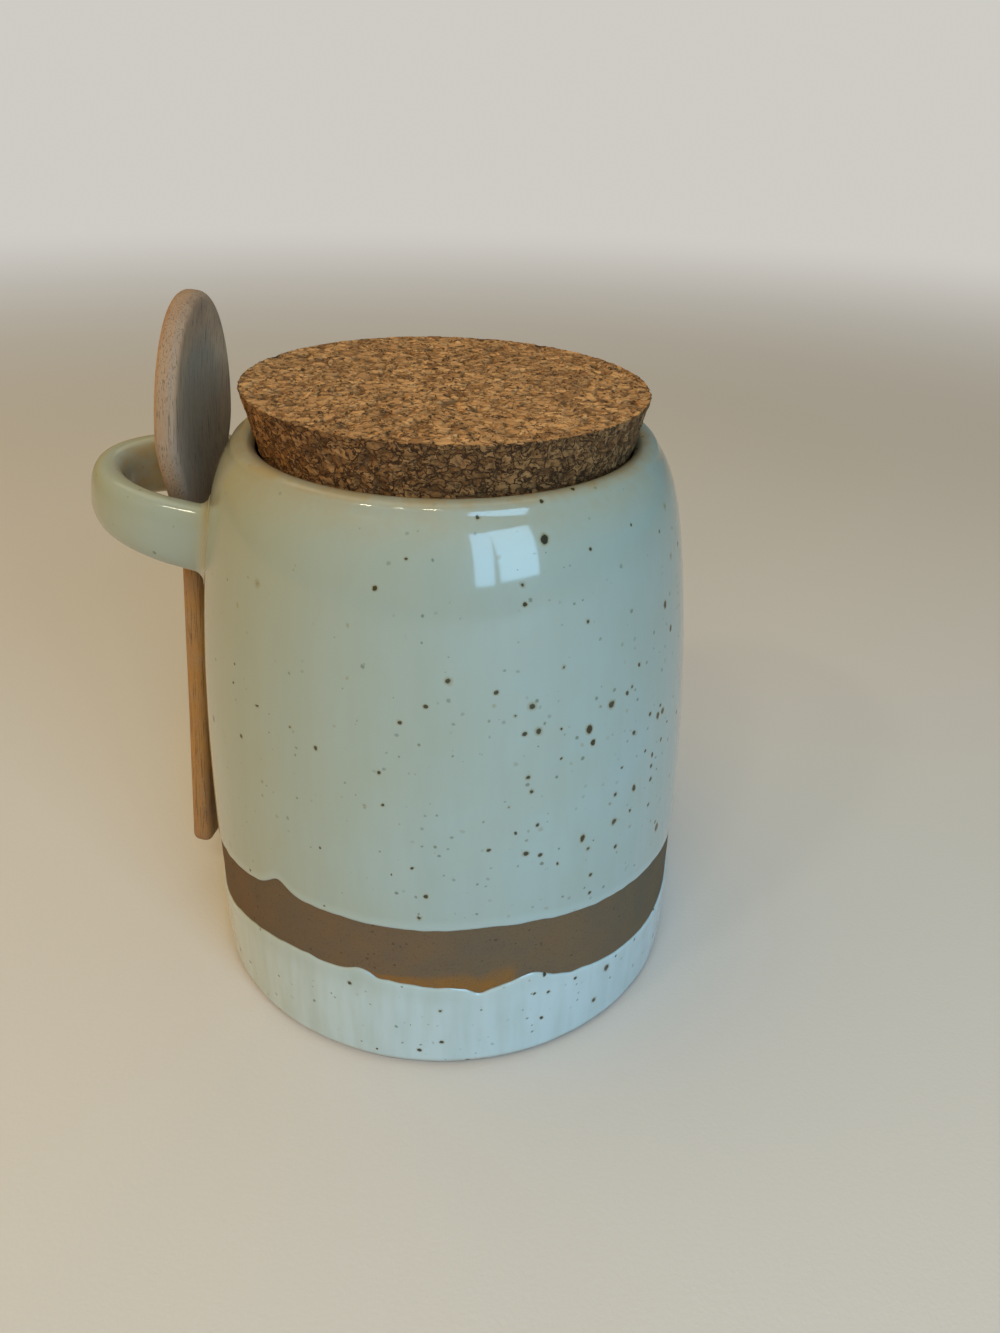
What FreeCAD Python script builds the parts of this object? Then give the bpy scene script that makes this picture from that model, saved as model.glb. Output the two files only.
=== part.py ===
import FreeCAD, Part
import math
import os
from FreeCAD import Matrix, Vector

# Stoneware canister with a cork lid and a small wooden spoon that hangs in its loop.
# Millimetres, +Z up.  The origin is on the jar's axis, in the plane that it stands on.
# The loop grows from the -X side.  "Radial" means away from the axis through the middle
# of the loop, and "across" means level and square to that.

# ---------------------------------------------------------------- thrown body
BODY_HEIGHT = 119.2        # foot to the crest of the lip
BELLY_RADIUS = 53.05       # straight lower part of the wall
WALL = 5.0                 # wall thickness, measured level
FLOOR = 6.0                # thickness of the bottom
FOOT_ROUND = 2.4           # rounding where the wall meets the underside
FLOOR_ROUND = 7.0          # thumb-rounded corner inside, between wall and bottom
SHOULDER_FALL = 8.8        # how far the wall leans in over its height
SHOULDER_POWER = 3.07      # how late that lean starts
LIP_FALL = 4.2             # extra pull inwards just below the lip
LIP_POWER = 24.0           # how sudden that pull is
LIP_DROP = 1.9             # crest of the lip down to where its rounding starts
WALL_STATIONS = 12         # stations that carry the wall's curve

# ---------------------------------------------------------------- bare clay band
GLAZE_DEPTH = 0.45         # the bare clay lies this far under the glaze
BAND_TOP = 33.8            # mean height of the band's upper edge
BAND_BOTTOM = 19.3         # mean height of the band's lower edge
BAND_STATIONS = 72         # stations round each wavy edge
BAND_MARGIN = 6.0          # clay core above and below the band
# Each wave is (turns round the jar, height, phase in degrees from the front).
TOP_WAVES = ((1, 1.6, 9.0), (2, 1.5, -18.0), (3, 0.7, -57.0), (5, 0.5, 143.0))
BOTTOM_WAVES = ((1, 1.7, -12.0), (2, 1.9, -40.0), (3, 1.5, -69.0), (5, 0.8, 134.0))
# Each drip is (turn in degrees from the front, rise, half width in degrees).
TOP_DRIPS = ((-40.0, 3.1, 5.0),)
BOTTOM_DRIPS = ((19.0, 2.5, 6.0),)

# ---------------------------------------------------------------- spoon loop
LOOP_AZIMUTH = 13.0        # degrees, turned from -X towards +Y
LOOP_DROP = 19.4           # crest of the lip down to the middle of the strap at the wall
LOOP_REACH = 28.0          # wall to the outermost face of the strap
LOOP_GAP = 25.0            # clear width between the strap's two legs at the wall
LOOP_NOSE = 27.0           # radial depth of the strap's rounded nose
LOOP_CLIMB = 7.0           # degrees that the strap rises away from the wall
LOOP_TILT = 5.0            # degrees that the strap drops towards the front of the jar
STRAP_HEIGHT = 14.4        # at the wall
STRAP_THICKNESS = 6.6      # at the wall
STRAP_TAPER = 0.12         # share of its height that the strap loses at its nose
STRAP_SWELL = 0.10         # share of its thickness that it gains there
STRAP_SQUARENESS = 2.5     # 2 is an elliptical section, more is squarer
STRAP_LEAN = 9.0           # degrees that the top of the strap leans inwards at its nose
STRAP_BLEND = 2.0          # rounding of the joint with the wall
NOSE_STATIONS = 14         # stations along the nose
SECTION_STATIONS = 16      # stations round the strap's section
JOINT_TOLERANCE = 0.05     # how near an edge lies to the wall where the strap meets it

# ---------------------------------------------------------------- cork lid
CORK_TAPER = 0.21          # radius gained for each millimetre of height
CORK_THICKNESS = 24.0
CORK_PROUD = 9.3           # top of the cork above the crest of the lip
CORK_ROUND = 0.6           # worn edges
CORK_CLEARANCE = 0.2       # cork to the throat of the jar
CORK_TILT = 0.8            # degrees, sunk a little more on the +X side

# ---------------------------------------------------------------- wooden spoon
SPOON_THICKNESS = 4.7
SPOON_LEAN = 4.6           # degrees, its top leans towards the jar
SPOON_LIFT = 11.0          # end of the handle above the table, as it hangs in the loop
SPOON_STANDOFF = 3.9       # wall of the jar to the spoon's scooped face, in the loop
SPOON_PLAY = 0.6           # spoon to each leg of the strap that holds it
SPOON_SWAY = 1.5           # degrees, its top leans towards the back of the jar
BOWL_SEAT = 5.2            # middle of the strap up to where the bowl bears on it
BOWL_LENGTH = 41.8         # middle of the strap to the tip of the bowl
BOWL_WIDTH = 28.8
BOWL_WIDEST = 16.0         # middle of the strap to the widest place of the bowl
BOWL_ROUNDNESS = 2.05      # 2 is an elliptical tip, more is squarer
BOWL_HOLLOW = 1.2          # depth of the scooped face
BOWL_RIM = 2.6             # flat rim left round the scoop
HANDLE_WIDTH = 9.2
HANDLE_NECK = 14.0         # middle of the strap down to where the handle runs straight
HANDLE_CORNER = 2.2        # rounded corners at the end of the handle
SPOON_ROUND = 1.1          # sanded edges
TIP_STATIONS = 7

AXIS = Vector(0, 0, 1)
ORIGIN = Vector(0, 0, 0)


def wall_radius(height, inset=0.0):
    """Outer radius of the wall: the belly less a slow lean and a late, sudden pull inwards."""
    share = height / BODY_HEIGHT
    lean = SHOULDER_FALL * share ** SHOULDER_POWER
    pull = LIP_FALL * share ** LIP_POWER
    return BELLY_RADIUS - lean - pull - inset


def smooth_edge(points):
    """Spline edge through points."""
    curve = Part.BSplineCurve()
    curve.interpolate(Points=points)
    return curve.toShape()


def closed_edge(points):
    """Spline edge through points and smoothly back to the first."""
    curve = Part.BSplineCurve()
    curve.interpolate(Points=points, PeriodicFlag=True)
    return curve.toShape()


def straight(start, end):
    """Straight edge in the XZ plane between two (radius, height) places."""
    return Part.makeLine(Vector(start[0], 0, start[1]), Vector(end[0], 0, end[1]))


def rounded(start, end, corner):
    """Quarter-round edge in the XZ plane, bulging towards the corner of the two places."""
    share = 1 - math.sqrt(0.5)
    middle = [corner[i] + share * (start[i] + end[i] - 2 * corner[i]) for i in (0, 1)]
    ends = [Vector(place[0], 0, place[1]) for place in (start, middle, end)]
    return Part.Arc(*ends).toShape()


def wall_edge(low, high, inset):
    """The wall's curve between two heights in the XZ plane, moved inwards by inset."""
    heights = [low + (high - low) * i / WALL_STATIONS for i in range(WALL_STATIONS + 1)]
    return smooth_edge([Vector(wall_radius(height, inset), 0, height) for height in heights])


def turned(edges):
    """Solid made by turning a closed outline once round the jar's axis."""
    return Part.Face(Part.Wire(edges)).revolve(ORIGIN, AXIS, 360)


LIP_START = BODY_HEIGHT - LIP_DROP
LOOP_HEIGHT = BODY_HEIGHT - LOOP_DROP
THROAT_RADIUS = wall_radius(LIP_START, WALL)
WALL_AT_LOOP = wall_radius(LOOP_HEIGHT)


# ---------------------------------------------------------------- the jar
def full_body():
    """Body with its rounded lip and foot, not yet hollow."""
    foot = wall_radius(FOOT_ROUND)
    lip = wall_radius(LIP_START)
    crest = Vector((lip + THROAT_RADIUS) / 2, 0, BODY_HEIGHT)
    return turned([
        straight((0, 0), (foot - FOOT_ROUND, 0)),
        rounded((foot - FOOT_ROUND, 0), (foot, FOOT_ROUND), (foot, 0)),
        wall_edge(FOOT_ROUND, LIP_START, 0),
        Part.Arc(Vector(lip, 0, LIP_START), crest, Vector(THROAT_RADIUS, 0, LIP_START)).toShape(),
        straight((THROAT_RADIUS, LIP_START), (0, LIP_START)),
        straight((0, LIP_START), (0, 0)),
    ])


def hollow():
    """Free space inside the jar, up through its mouth."""
    corner = wall_radius(FLOOR + FLOOR_ROUND, WALL)
    above = BODY_HEIGHT + WALL
    return turned([
        straight((0, FLOOR), (corner - FLOOR_ROUND, FLOOR)),
        rounded((corner - FLOOR_ROUND, FLOOR), (corner, FLOOR + FLOOR_ROUND), (corner, FLOOR)),
        wall_edge(FLOOR + FLOOR_ROUND, LIP_START, WALL),
        straight((THROAT_RADIUS, LIP_START), (THROAT_RADIUS, above)),
        straight((THROAT_RADIUS, above), (0, above)),
        straight((0, above), (0, FLOOR)),
    ])


def edge_height(mean, waves, drips, turn):
    """Height of a glaze edge at a turn in degrees from the front: waves and bell-shaped drips."""
    height = mean
    for count, size, phase in waves:
        height += size * math.cos(math.radians(count * turn - phase))
    for centre, rise, reach in drips:
        away = (turn - centre + 180) % 360 - 180
        height += rise * math.exp(-(away / reach) ** 2)
    return height


def wavy_ring(radius, mean, waves, drips):
    """Closed wavy edge at one radius; the front of the jar is -Y."""
    points = []
    for station in range(BAND_STATIONS):
        height = edge_height(mean, waves, drips, 360 * station / BAND_STATIONS)
        turn = 2 * math.pi * station / BAND_STATIONS
        points.append(Vector(radius * math.sin(turn), -radius * math.cos(turn), height))
    return closed_edge(points)


def band_groove():
    """Ring-shaped solid that takes the glaze off between the band's two wavy edges."""
    inner = BELLY_RADIUS - WALL
    outer = BELLY_RADIUS + WALL
    rings = [
        wavy_ring(inner, BAND_BOTTOM, BOTTOM_WAVES, BOTTOM_DRIPS),
        wavy_ring(outer, BAND_BOTTOM, BOTTOM_WAVES, BOTTOM_DRIPS),
        wavy_ring(outer, BAND_TOP, TOP_WAVES, TOP_DRIPS),
        wavy_ring(inner, BAND_TOP, TOP_WAVES, TOP_DRIPS),
    ]
    faces = [Part.makeRuledSurface(rings[i], rings[(i + 1) % 4]) for i in range(4)]
    shell = Part.makeShell(faces)
    shell.sewShape()
    solid = Part.Solid(Part.Shell(shell.Faces))
    if solid.Volume < 0:
        solid.reverse()
    return solid


def clay_core():
    """Bare clay under the glaze, a turned disc as tall as the band and its margins."""
    low = BAND_BOTTOM - BAND_MARGIN
    high = BAND_TOP + BAND_MARGIN
    return turned([
        straight((0, low), (wall_radius(low, GLAZE_DEPTH), low)),
        wall_edge(low, high, GLAZE_DEPTH),
        straight((wall_radius(high, GLAZE_DEPTH), high), (0, high)),
        straight((0, high), (0, low)),
    ])


def to_loop(shape):
    """Carry a shape from the loop's frame (X radial, Y across) to its place round the jar."""
    shape.rotate(ORIGIN, AXIS, 180 - LOOP_AZIMUTH)
    return shape


def leg_offset():
    """Middle of the loop to the middle of each leg of the strap."""
    return (LOOP_GAP + STRAP_THICKNESS) / 2


def nose_depth():
    """Radial depth of the nose along the middle of the strap."""
    return LOOP_NOSE - STRAP_THICKNESS / 2


def nose_start():
    """Distance from the jar's axis at which the strap's nose begins."""
    return WALL_AT_LOOP + LOOP_REACH - LOOP_NOSE


def strap_height(radial, across=0.0):
    """Height of the middle of the strap; it climbs outwards and drops towards the front."""
    climb = (radial - WALL_AT_LOOP) * math.tan(math.radians(LOOP_CLIMB))
    drop = across * math.tan(math.radians(LOOP_TILT))
    return LOOP_HEIGHT + climb - drop


def signed_power(value, power):
    """Power of a value that keeps its sign, for rounded squares."""
    return math.copysign(abs(value) ** power, value)


def strap_section(radial, across, turn):
    """Rounded-square section of the strap; turn is its place round the nose, 0 at the tip."""
    middle = Vector(radial, across, strap_height(radial, across))
    outwards = Vector(leg_offset() * math.cos(turn), nose_depth() * math.sin(turn), 0).normalize()
    lean = math.radians(STRAP_LEAN) * math.cos(turn)
    half_height = STRAP_HEIGHT / 2 * (1 - STRAP_TAPER * math.cos(turn))
    half_thickness = STRAP_THICKNESS / 2 * (1 + STRAP_SWELL * math.cos(turn))
    tall = (AXIS * math.cos(lean) - outwards * math.sin(lean)) * half_height
    wide = (outwards * math.cos(lean) + AXIS * math.sin(lean)) * half_thickness
    power = 2 / STRAP_SQUARENESS
    points = []
    for station in range(SECTION_STATIONS):
        angle = 2 * math.pi * (station + 0.5) / SECTION_STATIONS
        rise = signed_power(math.sin(angle), power)
        spread = signed_power(math.cos(angle), power)
        points.append(middle + tall * rise + wide * spread)
    return Part.Wire(closed_edge(points))


def strap():
    """Pulled strap that runs out of the wall, round the nose and back into the wall."""
    side = math.pi / 2
    root = math.sqrt((WALL_AT_LOOP - WALL) ** 2 - leg_offset() ** 2)
    sections = [strap_section(root, leg_offset(), side)]
    for station in range(NOSE_STATIONS + 1):
        turn = side - math.pi * station / NOSE_STATIONS
        radial = nose_start() + nose_depth() * math.cos(turn)
        sections.append(strap_section(radial, leg_offset() * math.sin(turn), turn))
    sections.append(strap_section(root, -leg_offset(), -side))
    return to_loop(Part.makeLoft(sections, True, False))


def make_jar():
    """Glazed jar: body, bare band, loop and hollow in one fired piece."""
    body = full_body().cut(band_groove()).fuse(clay_core())
    jar = body.fuse(strap()).removeSplitter()
    joints = [edge for edge in jar.Edges if is_strap_joint(edge)]
    jar = jar.makeFillet(STRAP_BLEND, joints)
    return jar.cut(hollow())


def is_strap_joint(edge):
    """True for the edges along which the strap meets the outside of the wall."""
    first, last = edge.ParameterRange
    for share in (0.1, 0.5, 0.9):
        place = edge.valueAt(first + share * (last - first))
        if place.x > 0 or abs(place.z - LOOP_HEIGHT) > STRAP_HEIGHT:
            return False
        if abs(math.hypot(place.x, place.y) - wall_radius(place.z)) > JOINT_TOLERANCE:
            return False
    return edge.Length < 4 * STRAP_HEIGHT


# ---------------------------------------------------------------- the cork
def make_cork():
    """Tapered cork that seats in the throat of the jar, tilted as it was pushed in."""
    top = BODY_HEIGHT + CORK_PROUD
    bottom = top - CORK_THICKNESS
    top_radius = THROAT_RADIUS - CORK_CLEARANCE + CORK_TAPER * (top - LIP_START)
    bottom_radius = top_radius - CORK_TAPER * CORK_THICKNESS
    cork = Part.makeCone(bottom_radius, top_radius, CORK_THICKNESS, Vector(0, 0, bottom), AXIS)
    rims = [edge for edge in cork.Edges if abs(edge.BoundBox.ZLength) < 0.001]
    cork = cork.makeFillet(CORK_ROUND, rims)
    cork.rotate(Vector(0, 0, LIP_START), Vector(0, 1, 0), CORK_TILT)
    return cork


# ---------------------------------------------------------------- the spoon
def clear_half_width(radial):
    """Half of the free width inside the loop at a distance from the jar's axis."""
    share = max(0.0, (radial - nose_start()) / nose_depth())
    return leg_offset() * math.sqrt(1 - share ** 2) - STRAP_THICKNESS / 2


def spoon_outline(grip, seat_half):
    """Face of the spoon in its own YZ plane; grip is its end to the middle of the strap."""
    length = grip + BOWL_LENGTH
    widest = grip + BOWL_WIDEST
    handle = HANDLE_WIDTH / 2
    flat = handle - HANDLE_CORNER
    side = [
        (handle, HANDLE_CORNER),
        (handle, (grip - HANDLE_NECK) / 2),
        (handle, grip - HANDLE_NECK),
        (seat_half, grip + BOWL_SEAT),
    ]
    for station in range(TIP_STATIONS + 1):
        turn = math.pi / 2 * station / TIP_STATIONS
        across = BOWL_WIDTH / 2 * math.cos(turn) ** (2 / BOWL_ROUNDNESS)
        along = widest + (length - widest) * math.sin(turn) ** (2 / BOWL_ROUNDNESS)
        side.append((across, along))
    right = [Vector(0, across, along) for across, along in side]
    left = [Vector(0, -point.y, point.z) for point in reversed(right[:-1])]
    outline = Part.BSplineCurve()
    outline.interpolate(Points=right + left, InitialTangent=AXIS, FinalTangent=-AXIS)
    sweep = HANDLE_CORNER * (1 - math.sqrt(0.5))
    near_corner = Vector(0, -handle + sweep, sweep)
    far_corner = Vector(0, handle - sweep, sweep)
    return Part.Face(Part.Wire([
        outline.toShape(),
        Part.Arc(left[-1], near_corner, Vector(0, -flat, 0)).toShape(),
        Part.makeLine(Vector(0, -flat, 0), Vector(0, flat, 0)),
        Part.Arc(Vector(0, flat, 0), far_corner, right[0]).toShape(),
    ]))


def scoop(grip):
    """Shallow dished cutter for the face of the bowl, longer than it is wide."""
    half_width = BOWL_WIDTH / 2 - BOWL_RIM
    half_length = BOWL_LENGTH / 2 - BOWL_RIM
    radius = (half_width ** 2 + BOWL_HOLLOW ** 2) / (2 * BOWL_HOLLOW)
    ball = Part.makeSphere(radius)
    stretch = Matrix()
    stretch.scale(1, 1, half_length / half_width)
    dish = ball.transformGeometry(stretch)
    dish.translate(Vector(BOWL_HOLLOW - radius - SPOON_THICKNESS / 2, 0, grip + BOWL_LENGTH / 2))
    return dish


def make_spoon():
    """Flat wooden spoon, its bowl too wide to slip down between the legs of the strap."""
    radial = WALL_AT_LOOP + SPOON_STANDOFF + SPOON_THICKNESS / 2
    height = strap_height(radial)
    grip = (height - SPOON_LIFT) / math.cos(math.radians(SPOON_LEAN))
    seat_half = clear_half_width(radial + SPOON_THICKNESS / 2) - SPOON_PLAY
    face = spoon_outline(grip, seat_half)
    face.translate(Vector(-SPOON_THICKNESS / 2, 0, 0))
    spoon = face.extrude(Vector(SPOON_THICKNESS, 0, 0))
    rims = [edge for edge in spoon.Edges if edge.BoundBox.XLength < SPOON_ROUND]
    spoon = spoon.makeFillet(SPOON_ROUND, rims).cut(scoop(grip))
    spoon.translate(Vector(radial, 0, height - grip))
    pivot = Vector(radial, 0, height)
    spoon.rotate(pivot, Vector(1, 0, 0), SPOON_SWAY)
    spoon.rotate(pivot, Vector(0, 1, 0), -SPOON_LEAN)
    return to_loop(spoon)


NODES = {
    "jar": make_jar,
    "cork_lid": make_cork,
    "wooden_spoon": make_spoon,
}

os.makedirs("parts", exist_ok=True)
for name, make in NODES.items():
    shape = make()
    if len(shape.Solids) == 1:
        shape = shape.Solids[0]
    shape.exportStep("parts/" + name + ".step")
    print(name, "solids", len(shape.Solids), "valid", shape.isValid(), "volume", round(shape.Volume))
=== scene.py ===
"""Stoneware canister with a cork lid and a wooden spoon that hangs in its loop.

Metres, +Z up.  The origin is on the jar's axis, in the plane that it stands on, and the
loop grows from the -X side.  Every visible piece is a surface worked out on a grid, and
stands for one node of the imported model.  A turn round the jar is measured from the
front, which is -Y, towards +X.
"""

import itertools
import logging
import math
from dataclasses import dataclass, field
from enum import Enum
from typing import ClassVar, Union

import bmesh
import bpy
import numpy as np
from mathutils import Matrix


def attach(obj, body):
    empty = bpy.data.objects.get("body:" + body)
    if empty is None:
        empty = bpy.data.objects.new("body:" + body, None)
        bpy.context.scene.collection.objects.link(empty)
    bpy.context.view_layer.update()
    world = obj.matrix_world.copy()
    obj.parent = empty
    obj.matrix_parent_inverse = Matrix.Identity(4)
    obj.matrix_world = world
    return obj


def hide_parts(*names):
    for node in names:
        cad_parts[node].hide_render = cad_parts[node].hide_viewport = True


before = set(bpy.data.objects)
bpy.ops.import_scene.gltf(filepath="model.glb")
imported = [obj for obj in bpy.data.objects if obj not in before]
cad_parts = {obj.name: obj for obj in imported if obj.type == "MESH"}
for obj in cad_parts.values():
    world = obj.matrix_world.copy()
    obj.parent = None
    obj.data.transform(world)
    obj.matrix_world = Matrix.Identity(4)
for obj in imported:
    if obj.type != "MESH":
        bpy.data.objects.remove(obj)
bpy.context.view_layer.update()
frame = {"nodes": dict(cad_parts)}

Array = np.ndarray
Colour = tuple[float, float, float]
Point = tuple[float, float, float]
Pair = tuple[float, float]
Value = Union["Signal", float, tuple]

MM = 0.001
BODY = "root"
LOG = logging.getLogger("canister")


# ---------------------------------------------------------------- arrays
def ease(low: float, high: float, value: Array) -> Array:
    """Smooth step from 0 to 1.

    Args:
        low: Value at which the step leaves 0.
        high: Value at which it reaches 1; below low, the step falls instead.
        value: Where the step is read.

    Returns:
        Three times the square less twice the cube of the share of the way from low to high.
    """
    share = np.clip((value - low) / (high - low), 0.0, 1.0)
    return share * share * (3.0 - 2.0 * share)


def bell(away: Array, reach: float) -> Array:
    """Bell curve of a distance: 1 at 0, and 1 / e at the reach."""
    return np.exp(-(away / reach) ** 2)


def steps(count: int) -> Array:
    """Column of count even shares from 0 up to, but not with, 1."""
    return np.arange(count)[:, None] / count


def turns(count: int) -> Array:
    """Row of count even turns once round."""
    return (2 * math.pi * np.arange(count) / count)[None, :]


def soft_noise(places: Array, cell: float, seed: int) -> Array:
    """Smooth random field between -1 and 1.

    Random values stand on the corners of a cubic lattice, and each place blends the
    eight corners round it, with the smooth step of its share across the cell as weights.

    Args:
        places: Places, with their three coordinates last.
        cell: Edge of a lattice cell.
        seed: Seed of the lattice's values.

    Returns:
        One value for each place.
    """
    size = 48
    lattice = np.random.default_rng(seed).uniform(-1.0, 1.0, (size, size, size))
    scaled = places / cell + size / 2
    corner = np.floor(scaled).astype(int)
    share = ease(0.0, 1.0, scaled - corner)
    total = np.zeros(places.shape[:-1])
    for offset in itertools.product((0, 1), repeat=3):
        weight = np.prod(np.where(np.array(offset) == 1, share, 1.0 - share), axis=-1)
        total += weight * lattice[tuple(np.moveaxis((corner + offset) % size, -1, 0))]
    return total


def granules(places: Array, cell: Point, seed: int) -> tuple[Array, Array]:
    """Packed granules, each the room nearest to one seed of a jittered lattice.

    Args:
        places: Places, with their three coordinates last.
        cell: Size of a granule along X, Y and Z.
        seed: Seed of the jitter.

    Returns:
        How much nearer the nearest seed is than the next, in cells, which is 0 on the
        gap between two granules, and a random value from 0 to 1 for each granule.
    """
    size = 40
    draw = np.random.default_rng(seed)
    jitter = draw.uniform(0.0, 1.0, (size, size, size, 3))
    tint = draw.uniform(0.0, 1.0, (size, size, size))
    scaled = places / np.array(cell) + size / 2
    corner = np.floor(scaled).astype(int)
    nearest = np.full(places.shape[:-1], np.inf)
    second = nearest.copy()
    value = np.zeros(places.shape[:-1])
    for offset in itertools.product((-1, 0, 1), repeat=3):
        home = corner + offset
        key = tuple(np.moveaxis(home % size, -1, 0))
        away = np.linalg.norm(home + jitter[key] - scaled, axis=-1)
        closer = away < nearest
        second = np.where(closer, nearest, np.minimum(second, away))
        value = np.where(closer, tint[key], value)
        nearest = np.minimum(nearest, away)
    return second - nearest, value


def pits(places: Array, centres: Array, widths: Array, depths: Array) -> Array:
    """Depth of round-bottomed pits, the deepest at each place.

    Args:
        places: Places, with their three coordinates last.
        centres: Pit centres, one a row.
        widths: Half width of each pit, which is its bell curve's reach.
        depths: Depth of each pit.

    Returns:
        One depth for each place.
    """
    deepest = np.zeros(places.shape[:-1])
    for centre, width, depth in zip(centres, widths, depths):
        deepest = np.maximum(deepest, depth * bell(np.linalg.norm(places - centre, axis=-1), width))
    return deepest


def superellipse(angle: Array, squareness: float) -> tuple[Array, Array]:
    """Rounded square of half size 1: signed powers 2 / squareness of an angle's cosine and sine."""
    power = 2.0 / squareness
    cosine, sine = np.cos(angle), np.sin(angle)
    return np.sign(cosine) * np.abs(cosine) ** power, np.sign(sine) * np.abs(sine) ** power


def polar(radius: Array, turn: Array, height: Array) -> Array:
    """Places at a radius, a turn from the front and a height."""
    radius, turn, height = np.broadcast_arrays(radius, turn, height)
    return np.stack([radius * np.sin(turn), -radius * np.cos(turn), height], axis=-1)


def turned(first: Array, second: Array, degrees: float) -> tuple[Array, Array]:
    """Two coordinates turned by an angle from the first axis towards the second."""
    cosine, sine = math.cos(math.radians(degrees)), math.sin(math.radians(degrees))
    return first * cosine - second * sine, first * sine + second * cosine


# ---------------------------------------------------------------- meshes
def add_object(name: str, data: bpy.types.ID) -> bpy.types.Object:
    """New object of the scene, with the given mesh, lamp or camera."""
    made = bpy.data.objects.new(name, data)
    bpy.context.scene.collection.objects.link(made)
    return made


@dataclass
class Grid:
    """A surface as rows and columns of places; the columns, and where asked the rows, close on themselves.

    Its fields are values or vectors that the mesh carries for its finish.
    """

    name: str
    places: Array
    fields: dict[str, Array] = field(default_factory=dict)
    closed_rows: bool = False
    finish_rows: Array | None = None

    def faces(self) -> Array:
        """Join neighbouring rows and columns.

        Returns:
            Corner numbers of the quads, one quad a row.
        """
        rows, columns = self.places.shape[:2]
        number = np.arange(rows * columns).reshape(rows, columns)
        if self.closed_rows:
            number = np.vstack([number, number[:1]])
        beside = np.roll(number, -1, axis=1)
        quads = np.stack([number[:-1], beside[:-1], beside[1:], number[1:]], axis=-1)
        return quads.reshape(-1, 4)

    def piece(self, slot: str, node: str, materials: tuple[bpy.types.Material, ...]) -> bpy.types.Object:
        """Turn the grid into a welded, outward-facing, smooth piece that stands for a node.

        Args:
            slot: The record's material slot.
            node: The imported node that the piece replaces.
            materials: Finishes, in the order of finish_rows.

        Returns:
            The piece, riding on the part's only body.
        """
        mesh = bpy.data.meshes.new(self.name)
        mesh.from_pydata(self.places.reshape(-1, 3).tolist(), [], self.faces().tolist())
        for key, values in self.fields.items():
            if values.ndim == 3:
                mesh.attributes.new(key, "FLOAT_VECTOR", "POINT").data.foreach_set("vector", values.ravel())
            else:
                spread = np.broadcast_to(values, self.places.shape[:2]).ravel()
                mesh.attributes.new(key, "FLOAT", "POINT").data.foreach_set("value", spread)
        for material in materials:
            mesh.materials.append(material)
        if self.finish_rows is not None:
            mesh.polygons.foreach_set("material_index", np.repeat(self.finish_rows, self.places.shape[1]))
        mesh.polygons.foreach_set("use_smooth", np.ones(len(mesh.polygons), dtype=bool))
        weld(mesh)
        made = add_object(self.name, mesh)
        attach(made, BODY)
        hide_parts(node)
        LOG.info("%s: %d faces in %s", self.name, len(mesh.polygons), slot)
        return made


class Piece:
    """What every visible piece has: a material slot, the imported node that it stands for, and two steps."""

    slot: ClassVar[str]
    node: ClassVar[str]

    def build(self) -> Grid:
        """Work out the piece's surface."""
        raise NotImplementedError

    def dress(self, grid: Grid, *materials: bpy.types.Material) -> bpy.types.Object:
        """Turn the surface into the piece, with its finishes."""
        return grid.piece(self.slot, self.node, materials)


def weld(mesh: bpy.types.Mesh) -> None:
    """Close seams and poles by merging places that coincide, then face everything outwards."""
    work = bmesh.new()
    work.from_mesh(mesh)
    bmesh.ops.remove_doubles(work, verts=work.verts, dist=1e-6)
    bmesh.ops.dissolve_degenerate(work, edges=work.edges, dist=1e-7)
    bmesh.ops.recalc_face_normals(work, faces=work.faces)
    work.to_mesh(mesh)
    work.free()
    mesh.update()


# ---------------------------------------------------------------- node graphs
@dataclass(frozen=True)
class Signal:
    """A node's output that can be reckoned with, where each step adds its node to the graph."""

    graph: "Graph"
    socket: bpy.types.NodeSocket

    def __mul__(self, other: Value) -> "Signal":
        """Product."""
        return self.graph.calc("MULTIPLY", self, other)

    def __add__(self, other: Value) -> "Signal":
        """Sum."""
        return self.graph.calc("ADD", self, other)

    def __sub__(self, other: Value) -> "Signal":
        """Difference."""
        return self.graph.calc("SUBTRACT", self, other)

    def or_more(self, other: Value) -> "Signal":
        """The greater of two."""
        return self.graph.calc("MAXIMUM", self, other)

    def ramp(self, low: Value, high: Value, start: float = 0.0, end: float = 1.0) -> "Signal":
        """Smooth step from start, at the low limit, to end, at the high one."""
        inputs = {"Value": self, "From Min": low, "From Max": high, "To Min": start, "To Max": end}
        return self.graph.node("ShaderNodeMapRange", inputs, interpolation_type="SMOOTHSTEP")["Result"]

    def split(self) -> tuple["Signal", "Signal", "Signal"]:
        """X, Y and Z of a vector, or red, green and blue of a colour."""
        parts = self.graph.node("ShaderNodeSeparateXYZ", {"Vector": self})
        return parts["X"], parts["Y"], parts["Z"]

    def stretched(self, x: float, y: float, z: float) -> "Signal":
        """Coordinates multiplied along each axis."""
        return self.graph.node("ShaderNodeMapping", {"Vector": self, "Scale": (x, y, z)})["Vector"]

    def warped(self, scale: float, reach: float, detail: float = 2.0) -> "Signal":
        """Push coordinates along each axis by a noise.

        Args:
            scale: The noise's scale.
            reach: Furthest push.
            detail: The noise's detail.

        Returns:
            The pushed coordinates.
        """
        inputs = {"Vector": self, "Scale": scale, "Detail": detail}
        noise = self.graph.node("ShaderNodeTexNoise", inputs)["Color"]
        push = self.graph.vector("MULTIPLY", noise, (reach, reach, reach))["Vector"]
        return self.graph.vector("ADD", self, push)["Vector"]


@dataclass(frozen=True)
class Placed:
    """A node in a graph, which gives its outputs as signals by name or number."""

    graph: "Graph"
    node: bpy.types.Node

    def __getitem__(self, output: str | int) -> Signal:
        """One output."""
        return Signal(self.graph, self.node.outputs[output])


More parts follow.
